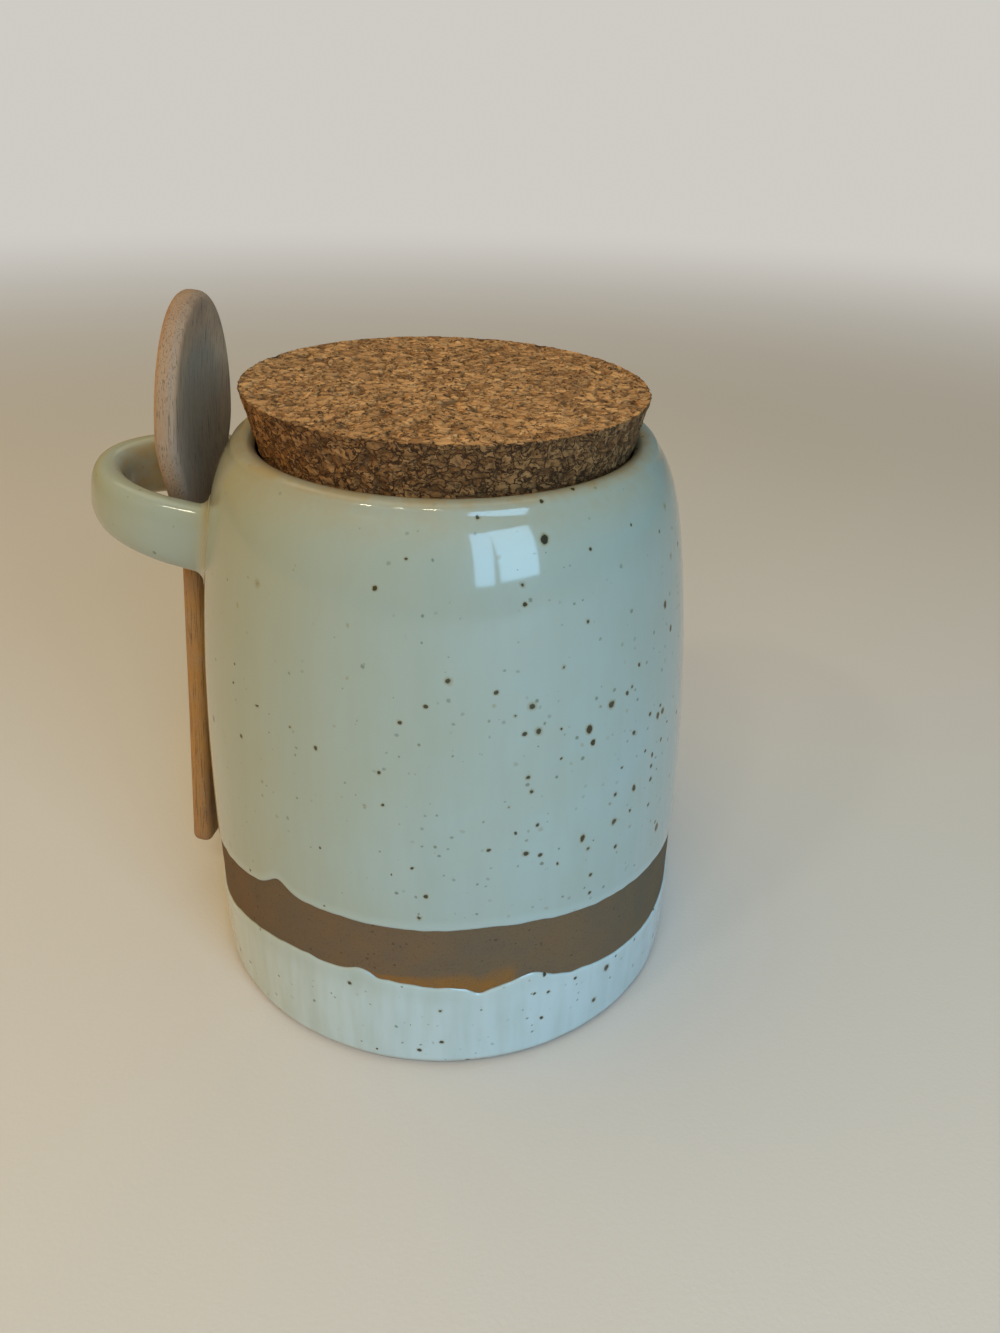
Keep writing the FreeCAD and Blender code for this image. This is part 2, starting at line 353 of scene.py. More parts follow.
class Graph:
    """Short ways to add and join shader nodes in one material, world or group."""

    def __init__(self, tree: bpy.types.NodeTree, shared: "SharedEffects | None" = None) -> None:
        """Keep the tree that nodes are added to, and the effects that it may use."""
        self.tree = tree
        self.shared = shared

    def node(self, kind: str, inputs: dict[str | int, Value] | None = None, **settings: object) -> Placed:
        """Add a node.

        Args:
            kind: Blender's name for the node type.
            inputs: Signals or plain values for its inputs, by name or number.
            settings: Its own settings.

        Returns:
            The node.
        """
        made = self.tree.nodes.new(kind)
        for name, value in settings.items():
            setattr(made, name, value)
        for name, value in (inputs or {}).items():
            socket = made.inputs[name]
            if isinstance(value, Signal):
                self.tree.links.new(value.socket, socket)
            else:
                socket.default_value = (*value, 1.0) if socket.type == "RGBA" else value
        return Placed(self, made)

    def place(self) -> Signal:
        """Object coordinates of the shaded place."""
        return self.node("ShaderNodeTexCoord")["Object"]

    def attribute(self, name: str, output: str = "Fac") -> Signal:
        """A value that the piece's mesh carries."""
        return self.node("ShaderNodeAttribute", attribute_name=name)[output]

    def noise(self, place: Signal, scale: Value, detail: float = 2.0, roughness: float = 0.5) -> Signal:
        """Cloudy noise from 0 to 1."""
        inputs = {"Vector": place, "Scale": scale, "Detail": detail, "Roughness": roughness}
        return self.node("ShaderNodeTexNoise", inputs)["Fac"]

    def cells(self, place: Signal, scale: Value, feature: str = "F1") -> Placed:
        """Cellular noise: distance and random colour of the nearest seed."""
        return self.node("ShaderNodeTexVoronoi", {"Vector": place, "Scale": scale}, feature=feature)

    def calc(self, operation: str, *values: Value) -> Signal:
        """One sum on plain numbers."""
        return self.node("ShaderNodeMath", dict(enumerate(values)), operation=operation)["Value"]

    def vector(self, operation: str, *values: Value) -> Placed:
        """One sum on vectors."""
        return self.node("ShaderNodeVectorMath", dict(enumerate(values)), operation=operation)

    def layers(self, colour: Value, *coats: tuple[Value, Value]) -> Signal:
        """Lay coats of colour over a first one.

        Args:
            colour: The first colour.
            coats: Share and colour of each coat, in order.

        Returns:
            The colour on top.
        """
        for share, tone in coats:
            inputs = {0: share, 6: colour, 7: tone}
            colour = self.node("ShaderNodeMix", inputs, data_type="RGBA", clamp_factor=True)[2]
        return colour

    def bump(self, height: Signal, depth: float, normal: Signal | None = None) -> Signal:
        """Normal of a small relief of the given depth, over another one if given."""
        inputs = {"Height": height, "Distance": depth, "Strength": 1.0}
        if normal is not None:
            inputs["Normal"] = normal
        return self.node("ShaderNodeBump", inputs)["Normal"]

    def cloud(self, place: Signal, scale: float, contrast: float) -> Signal:
        """Mask of the shared soft mottle."""
        inputs = {"Vector": place, "Scale": scale, "Contrast": contrast}
        return self.node("ShaderNodeGroup", inputs, node_tree=self.shared.mottle)["Mask"]

    def specks(self, place: Signal, scale: float, amount: Value, size: float) -> Placed:
        """The shared specks: cells to the metre, the share of cells with a speck, and its size in cells."""
        inputs = {"Vector": place, "Scale": scale, "Amount": amount, "Size": size}
        return self.node("ShaderNodeGroup", inputs, node_tree=self.shared.specks)


def new_group(name: str, inputs: str, outputs: str) -> tuple[Graph, Placed]:
    """Start a shared effect.

    Args:
        name: The effect's name.
        inputs: Names of its inputs: "Vector" is a vector, and the rest are numbers.
        outputs: Names of its outputs, all numbers.

    Returns:
        Its graph and its input node.
    """
    tree = bpy.data.node_groups.new(name, "ShaderNodeTree")
    for names, way in ((inputs, "INPUT"), (outputs, "OUTPUT")):
        for socket in names.split():
            kind = "NodeSocketVector" if socket == "Vector" else "NodeSocketFloat"
            tree.interface.new_socket(socket, in_out=way, socket_type=kind)
    graph = Graph(tree)
    return graph, graph.node("NodeGroupInput")


class SharedEffects:
    """Effects that several finishes use, each built once as a shader node group."""

    def __init__(self) -> None:
        """Build the groups."""
        self.specks = self._specks()
        self.mottle = self._mottle()

    @staticmethod
    def _specks() -> bpy.types.NodeTree:
        """Scattered round specks: a cell has one if its random value is under Amount, of a random size.

        Returns:
            Group with a Spot mask, a wider soft Halo mask and a random Tint for each speck.
        """
        graph, into = new_group("scattered_specks", "Vector Scale Amount Size", "Spot Halo Tint")
        cells = graph.cells(into["Vector"], into["Scale"])
        chance, spread, tint = cells["Color"].split()
        present = graph.calc("LESS_THAN", chance, into["Amount"])
        size = into["Size"] * spread.ramp(0.0, 1.0, 0.35, 1.0)
        spot = cells["Distance"].ramp(size * 0.75, size, 1.0, 0.0)
        halo = cells["Distance"].ramp(size * 0.9, size * 1.6, 1.0, 0.0)
        graph.node("NodeGroupOutput", {"Spot": spot * present, "Halo": halo * present, "Tint": tint})
        return graph.tree

    @staticmethod
    def _mottle() -> bpy.types.NodeTree:
        """Soft uneven clouding: a broad noise and one four times finer, two parts to one.

        Returns:
            Group with a Mask from 0 to 1.
        """
        graph, into = new_group("soft_mottle", "Vector Scale Contrast", "Mask")
        broad = graph.noise(into["Vector"], into["Scale"], 3.0, 0.55)
        fine = graph.noise(into["Vector"], into["Scale"] * 4.0)
        half = graph.calc("DIVIDE", 0.5, into["Contrast"])
        mask = (broad * 0.67 + fine * 0.33).ramp(graph.calc("SUBTRACT", 0.5, half), half + 0.5)
        graph.node("NodeGroupOutput", {"Mask": mask})
        return graph.tree


# ---------------------------------------------------------------- the thrown wall
@dataclass(frozen=True)
class Wall:
    """The thrown wall's curve: the belly less a slow lean and a late, sudden pull inwards."""

    height: float = 119.2 * MM
    belly: float = 53.05 * MM
    thickness: float = 5.0 * MM
    floor: float = 6.0 * MM
    foot_round: float = 2.4 * MM
    floor_round: float = 7.0 * MM
    shoulder_fall: float = 8.8 * MM
    shoulder_power: float = 3.07
    lip_fall: float = 4.2 * MM
    lip_power: float = 24.0
    lip_drop: float = 1.9 * MM

    def radius(self, height: Array) -> Array:
        """Outer radius at a height."""
        share = np.clip(height / self.height, 0.0, 1.0)
        lean = self.shoulder_fall * share ** self.shoulder_power
        return self.belly - lean - self.lip_fall * share ** self.lip_power

    def radius_at(self, height: float) -> float:
        """Outer radius at one height."""
        return float(self.radius(np.array(height)))

    @property
    def lip_start(self) -> float:
        """Height at which the lip's rounding starts."""
        return self.height - self.lip_drop

    @property
    def throat(self) -> float:
        """Inner radius at the mouth."""
        return self.radius_at(self.lip_start) - self.thickness


# ---------------------------------------------------------------- finishes
def new_material(name: str, shared: SharedEffects | None = None) -> tuple[bpy.types.Material, Graph]:
    """An empty material and its graph."""
    material = bpy.data.materials.new(name)
    material.use_nodes = True
    material.node_tree.nodes.clear()
    return material, Graph(material.node_tree, shared)


class Finish:
    """What every finish has: a name, and the inputs of its Principled shader."""

    name: ClassVar[str]

    def inputs(self, graph: Graph) -> dict[str, Value]:
        """Work out the finish.

        Args:
            graph: The material's graph, to which nodes are added.

        Returns:
            The shader's inputs, by name.
        """
        raise NotImplementedError

    def material(self, shared: SharedEffects) -> bpy.types.Material:
        """Build the finish, which may use the shared effects."""
        material, graph = new_material(self.name, shared)
        shader = graph.node("ShaderNodeBsdfPrincipled", self.inputs(graph))
        graph.node("ShaderNodeOutputMaterial", {"Surface": shader["BSDF"]})
        return material


@dataclass(frozen=True)
class GlazeFinish(Finish):
    """Glossy pale celadon glaze over iron-bearing clay.

    Colour: a pale base, clouded by a broad mottle and by streaks that run down the wall,
    warmer where the glaze is thin, with painted warm light towards the left, the loop's side,
    and painted shade inside the loop, paler low on the wall, where glaze pools in runs and
    where painted light from the bright table below lies, and paler in the bead along its
    edges, with fine grey specks, iron specks with a yellowish halo and large iron spots,
    given by turn in degrees, height and size in millimetres.
    """

    name: ClassVar[str] = "celadon_glaze"
    wall: Wall
    base: Colour = (0.295, 0.352, 0.318)
    cool: Colour = (0.295, 0.378, 0.385)
    warm: Colour = (0.290, 0.300, 0.210)
    lean: Colour = (0.260, 0.285, 0.235)
    thick: Colour = (0.420, 0.515, 0.545)
    # Brown of thin glaze; inside the loop it also stands for painted shade.
    thin: Colour = (0.310, 0.225, 0.110)
    break_line: Colour = (0.110, 0.070, 0.035)
    iron: Colour = (0.022, 0.016, 0.004)
    halo: Colour = (0.200, 0.160, 0.050)
    faint: Colour = (0.110, 0.135, 0.095)
    roughness: float = 0.30
    tallness: float = 0.75
    spots: tuple[Point, ...] = (
        (22, 113.5, 1.7), (31, 77.5, 1.7), (32, 74.5, 1.2), (30, 54, 1.5), (45, 59.5, 1.4),
        (57, 43.5, 1.7), (58, 94, 1.4), (-51, 96, 1.1), (-20, 99.5, 0.9), (-20, 90, 0.9),
        (-50, 63.5, 1.0), (54, 72, 1.3), (-37, 39.3, 1.1), (-34, 40, 0.7), (61, 88, 1.2),
        (46, 86, 0.8), (52, 64, 1.0), (2, 42, 0.9), (24, 50, 0.8), (-3, 7, 1.1),
    )

    def inputs(self, graph: Graph) -> dict[str, Value]:
        """Cloud the glaze, thin it at its edges and speck it, under a smooth, slightly rippled coat."""
        place = graph.place()
        rightwards, _, height = place.split()
        down = place.stretched(1.0, 1.0, 0.16)
        mottle = graph.cloud(place, 32.0, 1.7)
        streaks = graph.cloud(down, 110.0, 1.7)
        colour = graph.layers(
            self.base,
            (mottle, self.cool),
            (streaks * 0.20, self.thick),
            (graph.cloud(place, 14.0, 2.0) * 0.30, self.warm),
            # Painted warm light: the glaze is tinted warm towards the left, the loop's side, where warm
            # light from the left falls.
            (rightwards.ramp(0.015, -0.055, end=0.5), self.warm),
            (height.ramp(0.050, 0.115, end=0.55), self.lean),
            # Paler low on the wall: glaze pooled in runs, together with painted light from the bright table
            # below.
            (height.ramp(0.030, 0.016) * streaks.ramp(0.0, 1.0, 0.60, 1.10), self.thick),
            *self._edges(graph, place),
        )
        colour, iron = self._specked(graph, place, colour)
        ripple = graph.bump(graph.noise(place, 260.0), 0.05 * MM)
        return {
            "Base Color": colour,
            "Roughness": mottle.ramp(0.0, 1.0, self.roughness, self.roughness + 0.06) + iron * 0.2,
            "Normal": graph.bump(graph.noise(down, 900.0, 1.0), 0.008 * MM, ripple),
            "IOR": 1.5,
            "Specular IOR Level": 0.1,
            "Coat Weight": 1.0,
            "Coat Roughness": 0.075,
        }

    def _edges(self, graph: Graph, place: Signal) -> list[tuple[Value, Value]]:
        """Coats where the glaze is thick or thin, by the mesh's own "rim" and "thin" values; inside the
        loop, the "thin" coat is also painted shade.
        """
        rim = graph.attribute("rim")
        broken = graph.cloud(place, 150.0, 2.0).ramp(0.0, 1.0, 0.45, 1.0)
        return [
            (rim.ramp(0.25, 0.80, 1.0, 0.0) * 0.25, self.thick),
            # Thin glaze, and inside the loop painted shade as well.
            (graph.attribute("thin") * broken, self.thin),
            (rim.ramp(0.03, 0.12, 1.0, 0.0), self.break_line),
        ]

    def _specked(self, graph: Graph, place: Signal, colour: Value) -> tuple[Signal, Signal]:
        """Speck the glaze, most of all to the right and low down.

        Args:
            graph: The finish's graph.
            place: The shaded place.
            colour: The colour under the specks.

        Returns:
            The colour with its specks, and the mask of the iron ones.
        """
        place = place.warped(900.0, 0.6 * MM)
        rightwards, _, height = place.split()
        crowd = rightwards.ramp(-0.04, 0.035, 0.35, 1.0) * height.ramp(0.105, 0.06, 0.45, 1.0)
        faint = graph.specks(place, 430.0, crowd * 1.5, 0.13)
        small = graph.specks(place, 250.0, crowd * 1.2, 0.13)
        large = graph.specks(place, 150.0, rightwards.ramp(0.0, 0.035, 0.15, 1.3), 0.125)
        shown = faint["Halo"] * faint["Tint"].ramp(0.0, 1.0, 0.15, 0.80)
        colour = graph.layers(colour, (shown, self.faint))
        for specks in (small, large):
            halo, core = specks["Halo"] * 0.45, specks["Spot"] * 0.95
            colour = graph.layers(colour, (halo, self.halo), (core, self.iron))
        iron = small["Spot"].or_more(large["Spot"])
        squashed = place.stretched(1.0, 1.0, self.tallness)
        for degrees, up, size in self.spots:
            turn, half = math.radians(degrees), size * MM / 2
            radius = self.wall.radius_at(up * MM)
            centre = (radius * math.sin(turn), -radius * math.cos(turn), up * MM * self.tallness)
            away = graph.vector("DISTANCE", squashed, centre)["Value"]
            core = away.ramp(half * 0.7, half * 0.95, 1.0, 0.0)
            halo = away.ramp(half * 0.85, half * 1.3, 1.0, 0.0)
            colour = graph.layers(colour, (halo * 0.6, self.halo), (core, self.iron))
            iron = iron.or_more(core)
        return colour, iron


@dataclass(frozen=True)
class ClayFinish(Finish):
    """Matte bare stoneware: brown, with dark grains, and an orange flash where the mesh has one."""

    name: ClassVar[str] = "bare_stoneware"
    base: Colour = (0.146, 0.090, 0.046)
    grey: Colour = (0.118, 0.084, 0.053)
    flash: Colour = (0.220, 0.098, 0.020)
    grain: Colour = (0.040, 0.028, 0.018)
    roughness: float = 0.86

    def inputs(self, graph: Graph) -> dict[str, Value]:
        """Cloud and flash the clay, with a fine tooth and the rings that turning left in it."""
        place = graph.place()
        tooth = graph.noise(place, 2600.0, 3.0, 0.7)
        rings = graph.noise(place.stretched(0.15, 0.15, 1.0), 1800.0)
        flash = graph.attribute("flash") * graph.cloud(place, 120.0, 2.0).ramp(0.0, 1.0, 0.6, 1.0)
        colour = graph.layers(
            self.base,
            (graph.cloud(place, 45.0, 2.2), self.grey),
            (flash, self.flash),
            (tooth.ramp(0.52, 0.75, end=0.55), self.grain),
            (graph.specks(place, 760.0, 0.22, 0.28)["Spot"] * 0.6, self.grain),
        )
        return {
            "Base Color": colour,
            "Roughness": self.roughness,
            "Specular IOR Level": 0.3,
            "Normal": graph.bump(rings, 0.04 * MM, graph.bump(tooth, 0.06 * MM)),
        }


@dataclass(frozen=True)
class CorkFinish(Finish):
    """Pressed cork granules: angular tan chips, darker crumbs between them, and thin dark gaps."""

    name: ClassVar[str] = "pressed_cork"
    pale: Colour = (0.660, 0.360, 0.150)
    tan: Colour = (0.420, 0.215, 0.085)
    brown: Colour = (0.210, 0.092, 0.030)
    gap: Colour = (0.026, 0.009, 0.002)
    # Painted shade of the cork's side.
    side: Colour = (0.100, 0.038, 0.006)
    roughness: float = 0.80
    flatness: float = 1.8

    def inputs(self, graph: Graph) -> dict[str, Value]:
        """Pack the chips, put crumbs between some of them, paint shade onto the sawn side and draw the gaps.
        """
        place = graph.place().warped(480.0, 4.0 * MM, detail=5.0)
        squat = place.stretched(1.0, 1.0, self.flatness)
        chips, chip_gaps, chip_height = self._packed(graph, squat, 400.0, 0.10)
        crumbs, crumb_gaps, crumb_height = self._packed(graph, squat, 900.0, 0.14)
        loose = graph.cloud(place, 330.0, 3.0).ramp(0.50, 0.75)
        fibre = graph.noise(place, 3000.0, 3.0, 0.7)
        side = graph.attribute("side")
        broken = (graph.noise(place, 700.0) + side * 0.16).ramp(0.42, 0.60)
        gaps = chip_gaps.or_more(crumb_gaps * loose) * broken
        gaps = gaps.or_more(graph.attribute("gap") * 0.85)
        colour = graph.layers(
            chips,
            (loose, graph.layers(crumbs, (0.35, self.brown))),
            # Painted shade: the side is darkened, as the light from above leaves it.
            (side * 0.58, self.side),
            (gaps * 0.94, self.gap),
            (fibre.ramp(0.5, 0.8, end=0.4), self.brown),
        )
        relief = (chip_height + crumb_height) * 0.5 + fibre * 0.4
        return {
            "Base Color": colour,
            "Roughness": self.roughness,
            "Specular IOR Level": 0.25,
            "Normal": graph.bump(relief - gaps, 0.28 * MM),
        }

    def _packed(
        self, graph: Graph, place: Signal, scale: float, width: float
    ) -> tuple[Signal, Signal, Signal]:
        """Pack granules of one size.

        Args:
            graph: The finish's graph.
            place: The shaded place.
            scale: Granules to the metre.
            width: How wide the gaps between them are, in granules.

        Returns:
            Their colour, the mask of the gaps and a random height for each.
        """
        shade, darkness, height = graph.cells(place, scale)["Color"].split()
        colour = graph.layers(self.tan, (shade, self.pale), (darkness.ramp(0.55, 1.0, end=0.9), self.brown))
        gaps = graph.cells(place, scale, "DISTANCE_TO_EDGE")["Distance"].ramp(0.01, width, 1.0, 0.0)
        return colour, gaps, height


@dataclass(frozen=True)
class WoodFinish(Finish):
    """Fine-grained bare wood: greyish pink-brown, warmer on the handle, with painted warm light on its
    edges, painted light on the upper bowl and thin pores.

    The mesh's "grain_place" has its Z along the spoon, from the end of the handle.
    """

    name: ClassVar[str] = "spoon_wood"
    pale: Colour = (0.375, 0.265, 0.190)
    grey: Colour = (0.285, 0.215, 0.168)
    warm: Colour = (0.370, 0.195, 0.060)
    pore: Colour = (0.095, 0.060, 0.038)
    rim: Colour = (0.265, 0.175, 0.105)
    painted_light_top: Colour = (0.520, 0.285, 0.140)
    stain: Colour = (0.230, 0.110, 0.062)
    roughness: float = 0.58

    def inputs(self, graph: Graph) -> dict[str, Value]:
        """Band the wood along its grain, warm it by region, paint light onto the upper bowl and draw pores
        and flecks.
        """
        place = graph.attribute("grain_place", "Vector")
        along = place.split()[2]
        edge = graph.attribute("edge")
        bands = graph.cloud(place.stretched(1.0, 1.0, 0.05), 260.0, 2.4)
        patches = graph.cloud(place, 55.0, 2.6)
        pores = graph.noise(place.stretched(1.0, 1.0, 0.035), 3800.0, 2.0, 0.6)
        fleck = graph.noise(place.stretched(1.0, 1.0, 0.3), 5200.0, 2.0, 0.6)
        ends = along.ramp(0.118, 0.130).or_more(along.ramp(0.016, 0.004))
        colour = graph.layers(
            self.grey,
            (bands, self.pale),
            # Painted warm light: the rounded edges are painted warmer and browner, as warm light from the
            # left leaves them.
            (edge * 0.75, self.rim),
            (graph.attribute("handle"), self.warm),
            (patches * 0.35, self.grey),
            # Painted light: the upper bowl, above the jar and cork and out of their shadow, is painted
            # lighter and warmer.
            (along.ramp(0.098, 0.122, end=0.75) * edge.ramp(0.0, 1.0, 1.0, 0.2), self.painted_light_top),
            (ends * patches * 0.6, self.stain),
            (pores.ramp(0.52, 0.68, end=0.75), self.pore),
            (fleck.ramp(0.52, 0.72, end=0.60), self.pale),
        )
        return {
            "Base Color": colour,
            "Roughness": bands.ramp(0.0, 1.0, self.roughness, self.roughness + 0.12),
            "Specular IOR Level": 0.4,
            "Normal": graph.bump(pores + fleck, 0.05 * MM),
        }


# ---------------------------------------------------------------- the jar
@dataclass(frozen=True)
class GlazeEdge:
    """Wavy edge of the glaze: waves are (count, height, phase) and drips are (turn, rise, half width)."""

    mean: float
    waves: tuple[Point, ...]
    drips: tuple[Point, ...]
    fray: float
    seed: int

    def height(self, turn: Array) -> Array:
        """Height at a turn: the mean, the cosine waves, a bell curve for each drip and a little fraying.

        Args:
            turn: Turns from the front.

        Returns:
            One height for each turn.
        """
        total = np.full_like(turn, self.mean)
        for count, size, phase in self.waves:
            total = total + size * MM * np.cos(count * turn - math.radians(phase))
        for centre, rise, reach in self.drips:
            away = (turn - math.radians(centre) + math.pi) % (2 * math.pi) - math.pi
            total = total + rise * MM * bell(away, math.radians(reach))
        round_trip = polar(np.full_like(turn, 50 * MM), turn, np.zeros_like(turn))
        return total + self.fray * soft_noise(round_trip, 2.2 * MM, self.seed)


@dataclass(frozen=True)
class Band:
    """The bare band round the jar, between two edges of the glaze, and how far in its surfaces are set."""

    top: GlazeEdge = GlazeEdge(
        33.8 * MM, ((1, 1.6, 9), (2, 1.5, -18), (3, 0.7, -57), (5, 0.5, 143), (8, 0.3, 88)),
        ((-40, 3.1, 4),), 0.18 * MM, 11,
    )
    bottom: GlazeEdge = GlazeEdge(
        19.3 * MM, ((1, 1.7, -12), (2, 1.9, -40), (3, 1.5, -69), (5, 0.8, 134)),
        ((-19, 1.5, 3), (7, -1.5, 2.2), (19, 2.7, 5)), 0.22 * MM, 12,
    )
    bead: float = 1.1 * MM
    glaze_set: float = 0.08 * MM
    clay_set: float = 0.50 * MM
    groove_set: float = 1.2 * MM


class Cover(Enum):
    """Finishes of the jar's own mesh, in their order."""

    GLAZE = 0
    CLAY = 1


@dataclass(frozen=True)
class PathRows:
    """How many rows each stretch of the jar's path has, in the order of the path."""

    sole: int = 10
    bare_foot: int = 5
    glazed_foot: int = 6
    skirt: int = 16
    roll: int = 7
    groove: int = 8
    wall: int = 92
    lip: int = 16
    inside: int = 20
    corner: int = 6
    floor: int = 8


@dataclass
class Path:
    """Rows of a path up a section, each with its radius, height, nearness to a glaze edge and cover."""

    turn: Array
    rows: list[tuple[Array, Array, Array]] = field(default_factory=list)
    covers: list[Array] = field(default_factory=list)

    def add(self, radius: Array, height: Array, cover: Cover, edge: Array | float = 1.0) -> None:
        """Add rows of one cover.

        Args:
            radius: Their radius.
            height: Their height.
            cover: Their finish.
            edge: How far they lie from the nearest glaze edge, in four beads' widths, up to 1.
        """
        rows = np.broadcast_arrays(radius, height, edge, np.zeros_like(self.turn))[:3]
        self.rows.append(rows)
        self.covers.append(np.full(len(rows[0]), cover.value))

    def joined(self) -> tuple[Array, Array, Array, Array]:
        """Radius, height and edge of every row and column, and the cover of each strip between rows."""
        radius, height, edge = (np.vstack(parts) for parts in zip(*self.rows))
        return radius, height, edge, np.concatenate(self.covers)[:-1]


@dataclass
class JarBody(Piece):
    """Thrown body with its foot, lip and hollow inside, bare on its foot and in the band's groove."""

    slot: ClassVar[str] = "stoneware_glaze"
    node: ClassVar[str] = "jar"
    wall: Wall
    band: Band
    rows: PathRows = PathRows()
    columns: int = 480
    unevenness: float = 0.10 * MM
    lumps: float = 0.22 * MM
    bare_foot: float = 0.9 * MM

    def path(self, turn: Array) -> Path:
        """The section's path at every turn.

        It runs from the middle of the underside round the foot, up the glazed wall, into
        the band's groove and out, up to the lip and over it, then down inside to the
        middle of the floor.  A glaze edge rolls over as a quarter of an ellipse.

        Args:
            turn: Turns, one for each column.

        Returns:
            The path.
        """
        wall, band, rows = self.wall, self.band, self.rows
        low, high = band.bottom.height(turn), band.top.height(turn)
        path = Path(turn)
        sole = wall.radius_at(wall.foot_round) - wall.foot_round
        path.add(sole * steps(rows.sole) ** 0.7, 0.0, Cover.CLAY)
        bare = math.acos(1 - self.bare_foot / wall.foot_round)
        for angle, cover in (
            (bare * steps(rows.bare_foot), Cover.CLAY),
            (bare + (math.pi / 2 - bare) * steps(rows.glazed_foot), Cover.GLAZE),
        ):
            path.add(sole + wall.foot_round * np.sin(angle), wall.foot_round * (1 - np.cos(angle)), cover)

        up = wall.foot_round + (low - band.bead - wall.foot_round) * steps(rows.skirt)
        path.add(wall.radius(up), up, Cover.GLAZE, np.clip((low - up) / band.bead / 4, 0, 1))
        roll = np.sin(math.pi / 2 * steps(rows.roll))
        drop = (band.groove_set - band.glaze_set) * (1 - np.sqrt(1 - roll ** 2))
        up = low - band.bead * (1 - roll)
        path.add(wall.radius(up) - drop, up, Cover.GLAZE, (1 - roll) / 4)
        up = low + (high - low) * steps(rows.groove)
        path.add(wall.radius(up) - band.groove_set + band.glaze_set, up, Cover.CLAY, 0.0)
        up = high + band.bead * (1 - roll[::-1])
        path.add(wall.radius(up) - drop[::-1], up, Cover.GLAZE, (1 - roll[::-1]) / 4)
        start = high + band.bead
        up = start + (wall.lip_start - start) * steps(rows.wall)
        path.add(wall.radius(up), up, Cover.GLAZE, np.clip((up - high) / band.bead / 4, 0, 1))

        half = wall.thickness / 2
        arc = (half ** 2 + wall.lip_drop ** 2) / (2 * wall.lip_drop)
        first = math.asin((arc - wall.lip_drop) / arc)
        angle = first + (math.pi - 2 * first) * steps(rows.lip)
        middle = wall.throat + half
        path.add(middle + arc * np.cos(angle), wall.height - arc + arc * np.sin(angle), Cover.GLAZE)
        bottom = wall.floor + wall.floor_round
        up = wall.lip_start + (bottom - wall.lip_start) * steps(rows.inside)
        path.add(wall.radius(up) - wall.thickness, up, Cover.GLAZE)
        flat = wall.radius_at(bottom) - wall.thickness - wall.floor_round
        angle, bend = math.pi / 2 * steps(rows.corner), wall.floor_round
        path.add(flat + bend * np.cos(angle), bottom - bend * np.sin(angle), Cover.GLAZE)
        path.add(flat * np.linspace(1, 0, rows.floor)[:, None], wall.floor, Cover.GLAZE)
        return path

    def build(self) -> Grid:
        """Turn the path once round, set in for the glaze and slightly uneven as thrown by hand.

        Returns:
            The body's surface.
        """
        wall, turn = self.wall, turns(self.columns)
        radius, height, rim, covers = self.path(turn).joined()
        places = polar(radius, turn, height)
        uneven = soft_noise(places, 24 * MM, 3) + 0.5 * soft_noise(places, 9 * MM, 4)
        low = self.band.bottom.height(turn)
        lumps = self.lumps * soft_noise(places, 6 * MM, 5) * ease(low, low - 3 * MM, height)
        room = ease(0.0, 3 * MM, height) * ease(8 * MM, 14 * MM, radius)
        dents = self.unevenness * (1 + uneven / 1.5) / 2 + np.maximum(lumps, 0)
        inset = self.band.glaze_set + room * dents
        places = polar(np.maximum(radius - inset * (radius > 1e-9), 0.0), turn, height)
        under_lip = wall.height - height
        crest = np.maximum(bell(under_lip, 1.3 * MM), 0.42 * ease(9 * MM, 1 * MM, under_lip))
        thin = np.clip(0.85 * crest + ease(2.2 * MM, 0.8 * MM, height), 0, 1)
        fields = {"rim": rim, "thin": thin, "flash": np.zeros((1, 1))}
        return Grid("jar_body", places, fields, finish_rows=covers)


@dataclass
class ClayBand(Piece):
    """Bare clay that fills the groove and tucks under both glaze edges: a ring of closed section."""

    slot: ClassVar[str] = "bare_clay"
    node: ClassVar[str] = "jar"
    wall: Wall
    band: Band
    columns: int = 480
    face_rows: int = 44
    back_rows: int = 4
    tuck: float = 0.9 * MM
    depth: float = 2.4 * MM
    tooth: float = 0.05 * MM

    def build(self) -> Grid:
        """Carry the section round the jar, up its face and down its back, and flash it at the front.

        Returns:
            The ring's surface.
        """
        turn = turns(self.columns)
        low, high = self.band.bottom.height(turn) - self.tuck, self.band.top.height(turn) + self.tuck
        face, back = (np.linspace(0.0, 1.0, count)[:, None] for count in (self.face_rows, self.back_rows))
        up = np.vstack([low + (high - low) * face, high + (low - high) * back])
        inset = np.vstack([np.full_like(face, self.band.clay_set), np.full_like(back, self.depth)])
        radius = self.wall.radius(up) - inset
        places = polar(radius, turn, up)
        texture = soft_noise(places, 0.9 * MM, 21) + soft_noise(places * [0.3, 0.3, 1.0], 1.2 * MM, 22)
        places = polar(radius + self.tooth * texture / 2, turn, up)
        across = np.degrees((turn + math.pi) % (2 * math.pi) - math.pi)
        reach = (1.2 + 4.6 * ease(-18.0, 12.0, across)) * MM
        ends = ease(-20.0, -12.0, across) * ease(16.5, 13.0, across)
        flash = ends * ease(1.0, 0.25, (up - low - self.tuck) / reach)
        return Grid("clay_band", places, {"flash": flash}, closed_rows=True)


# ---------------------------------------------------------------- the loop
@dataclass(frozen=True)
class LoopFrame:
    """The loop's own directions: X away from the jar's axis, Y across towards the front, Z up."""

    azimuth: float = 13.0

    def to_jar(self, places: Array) -> Array:
        """Turn places from the loop's frame to the jar's."""
        x, y, z = np.moveaxis(places, -1, 0)
        return np.stack([*turned(x, y, 180.0 - self.azimuth), z], axis=-1)


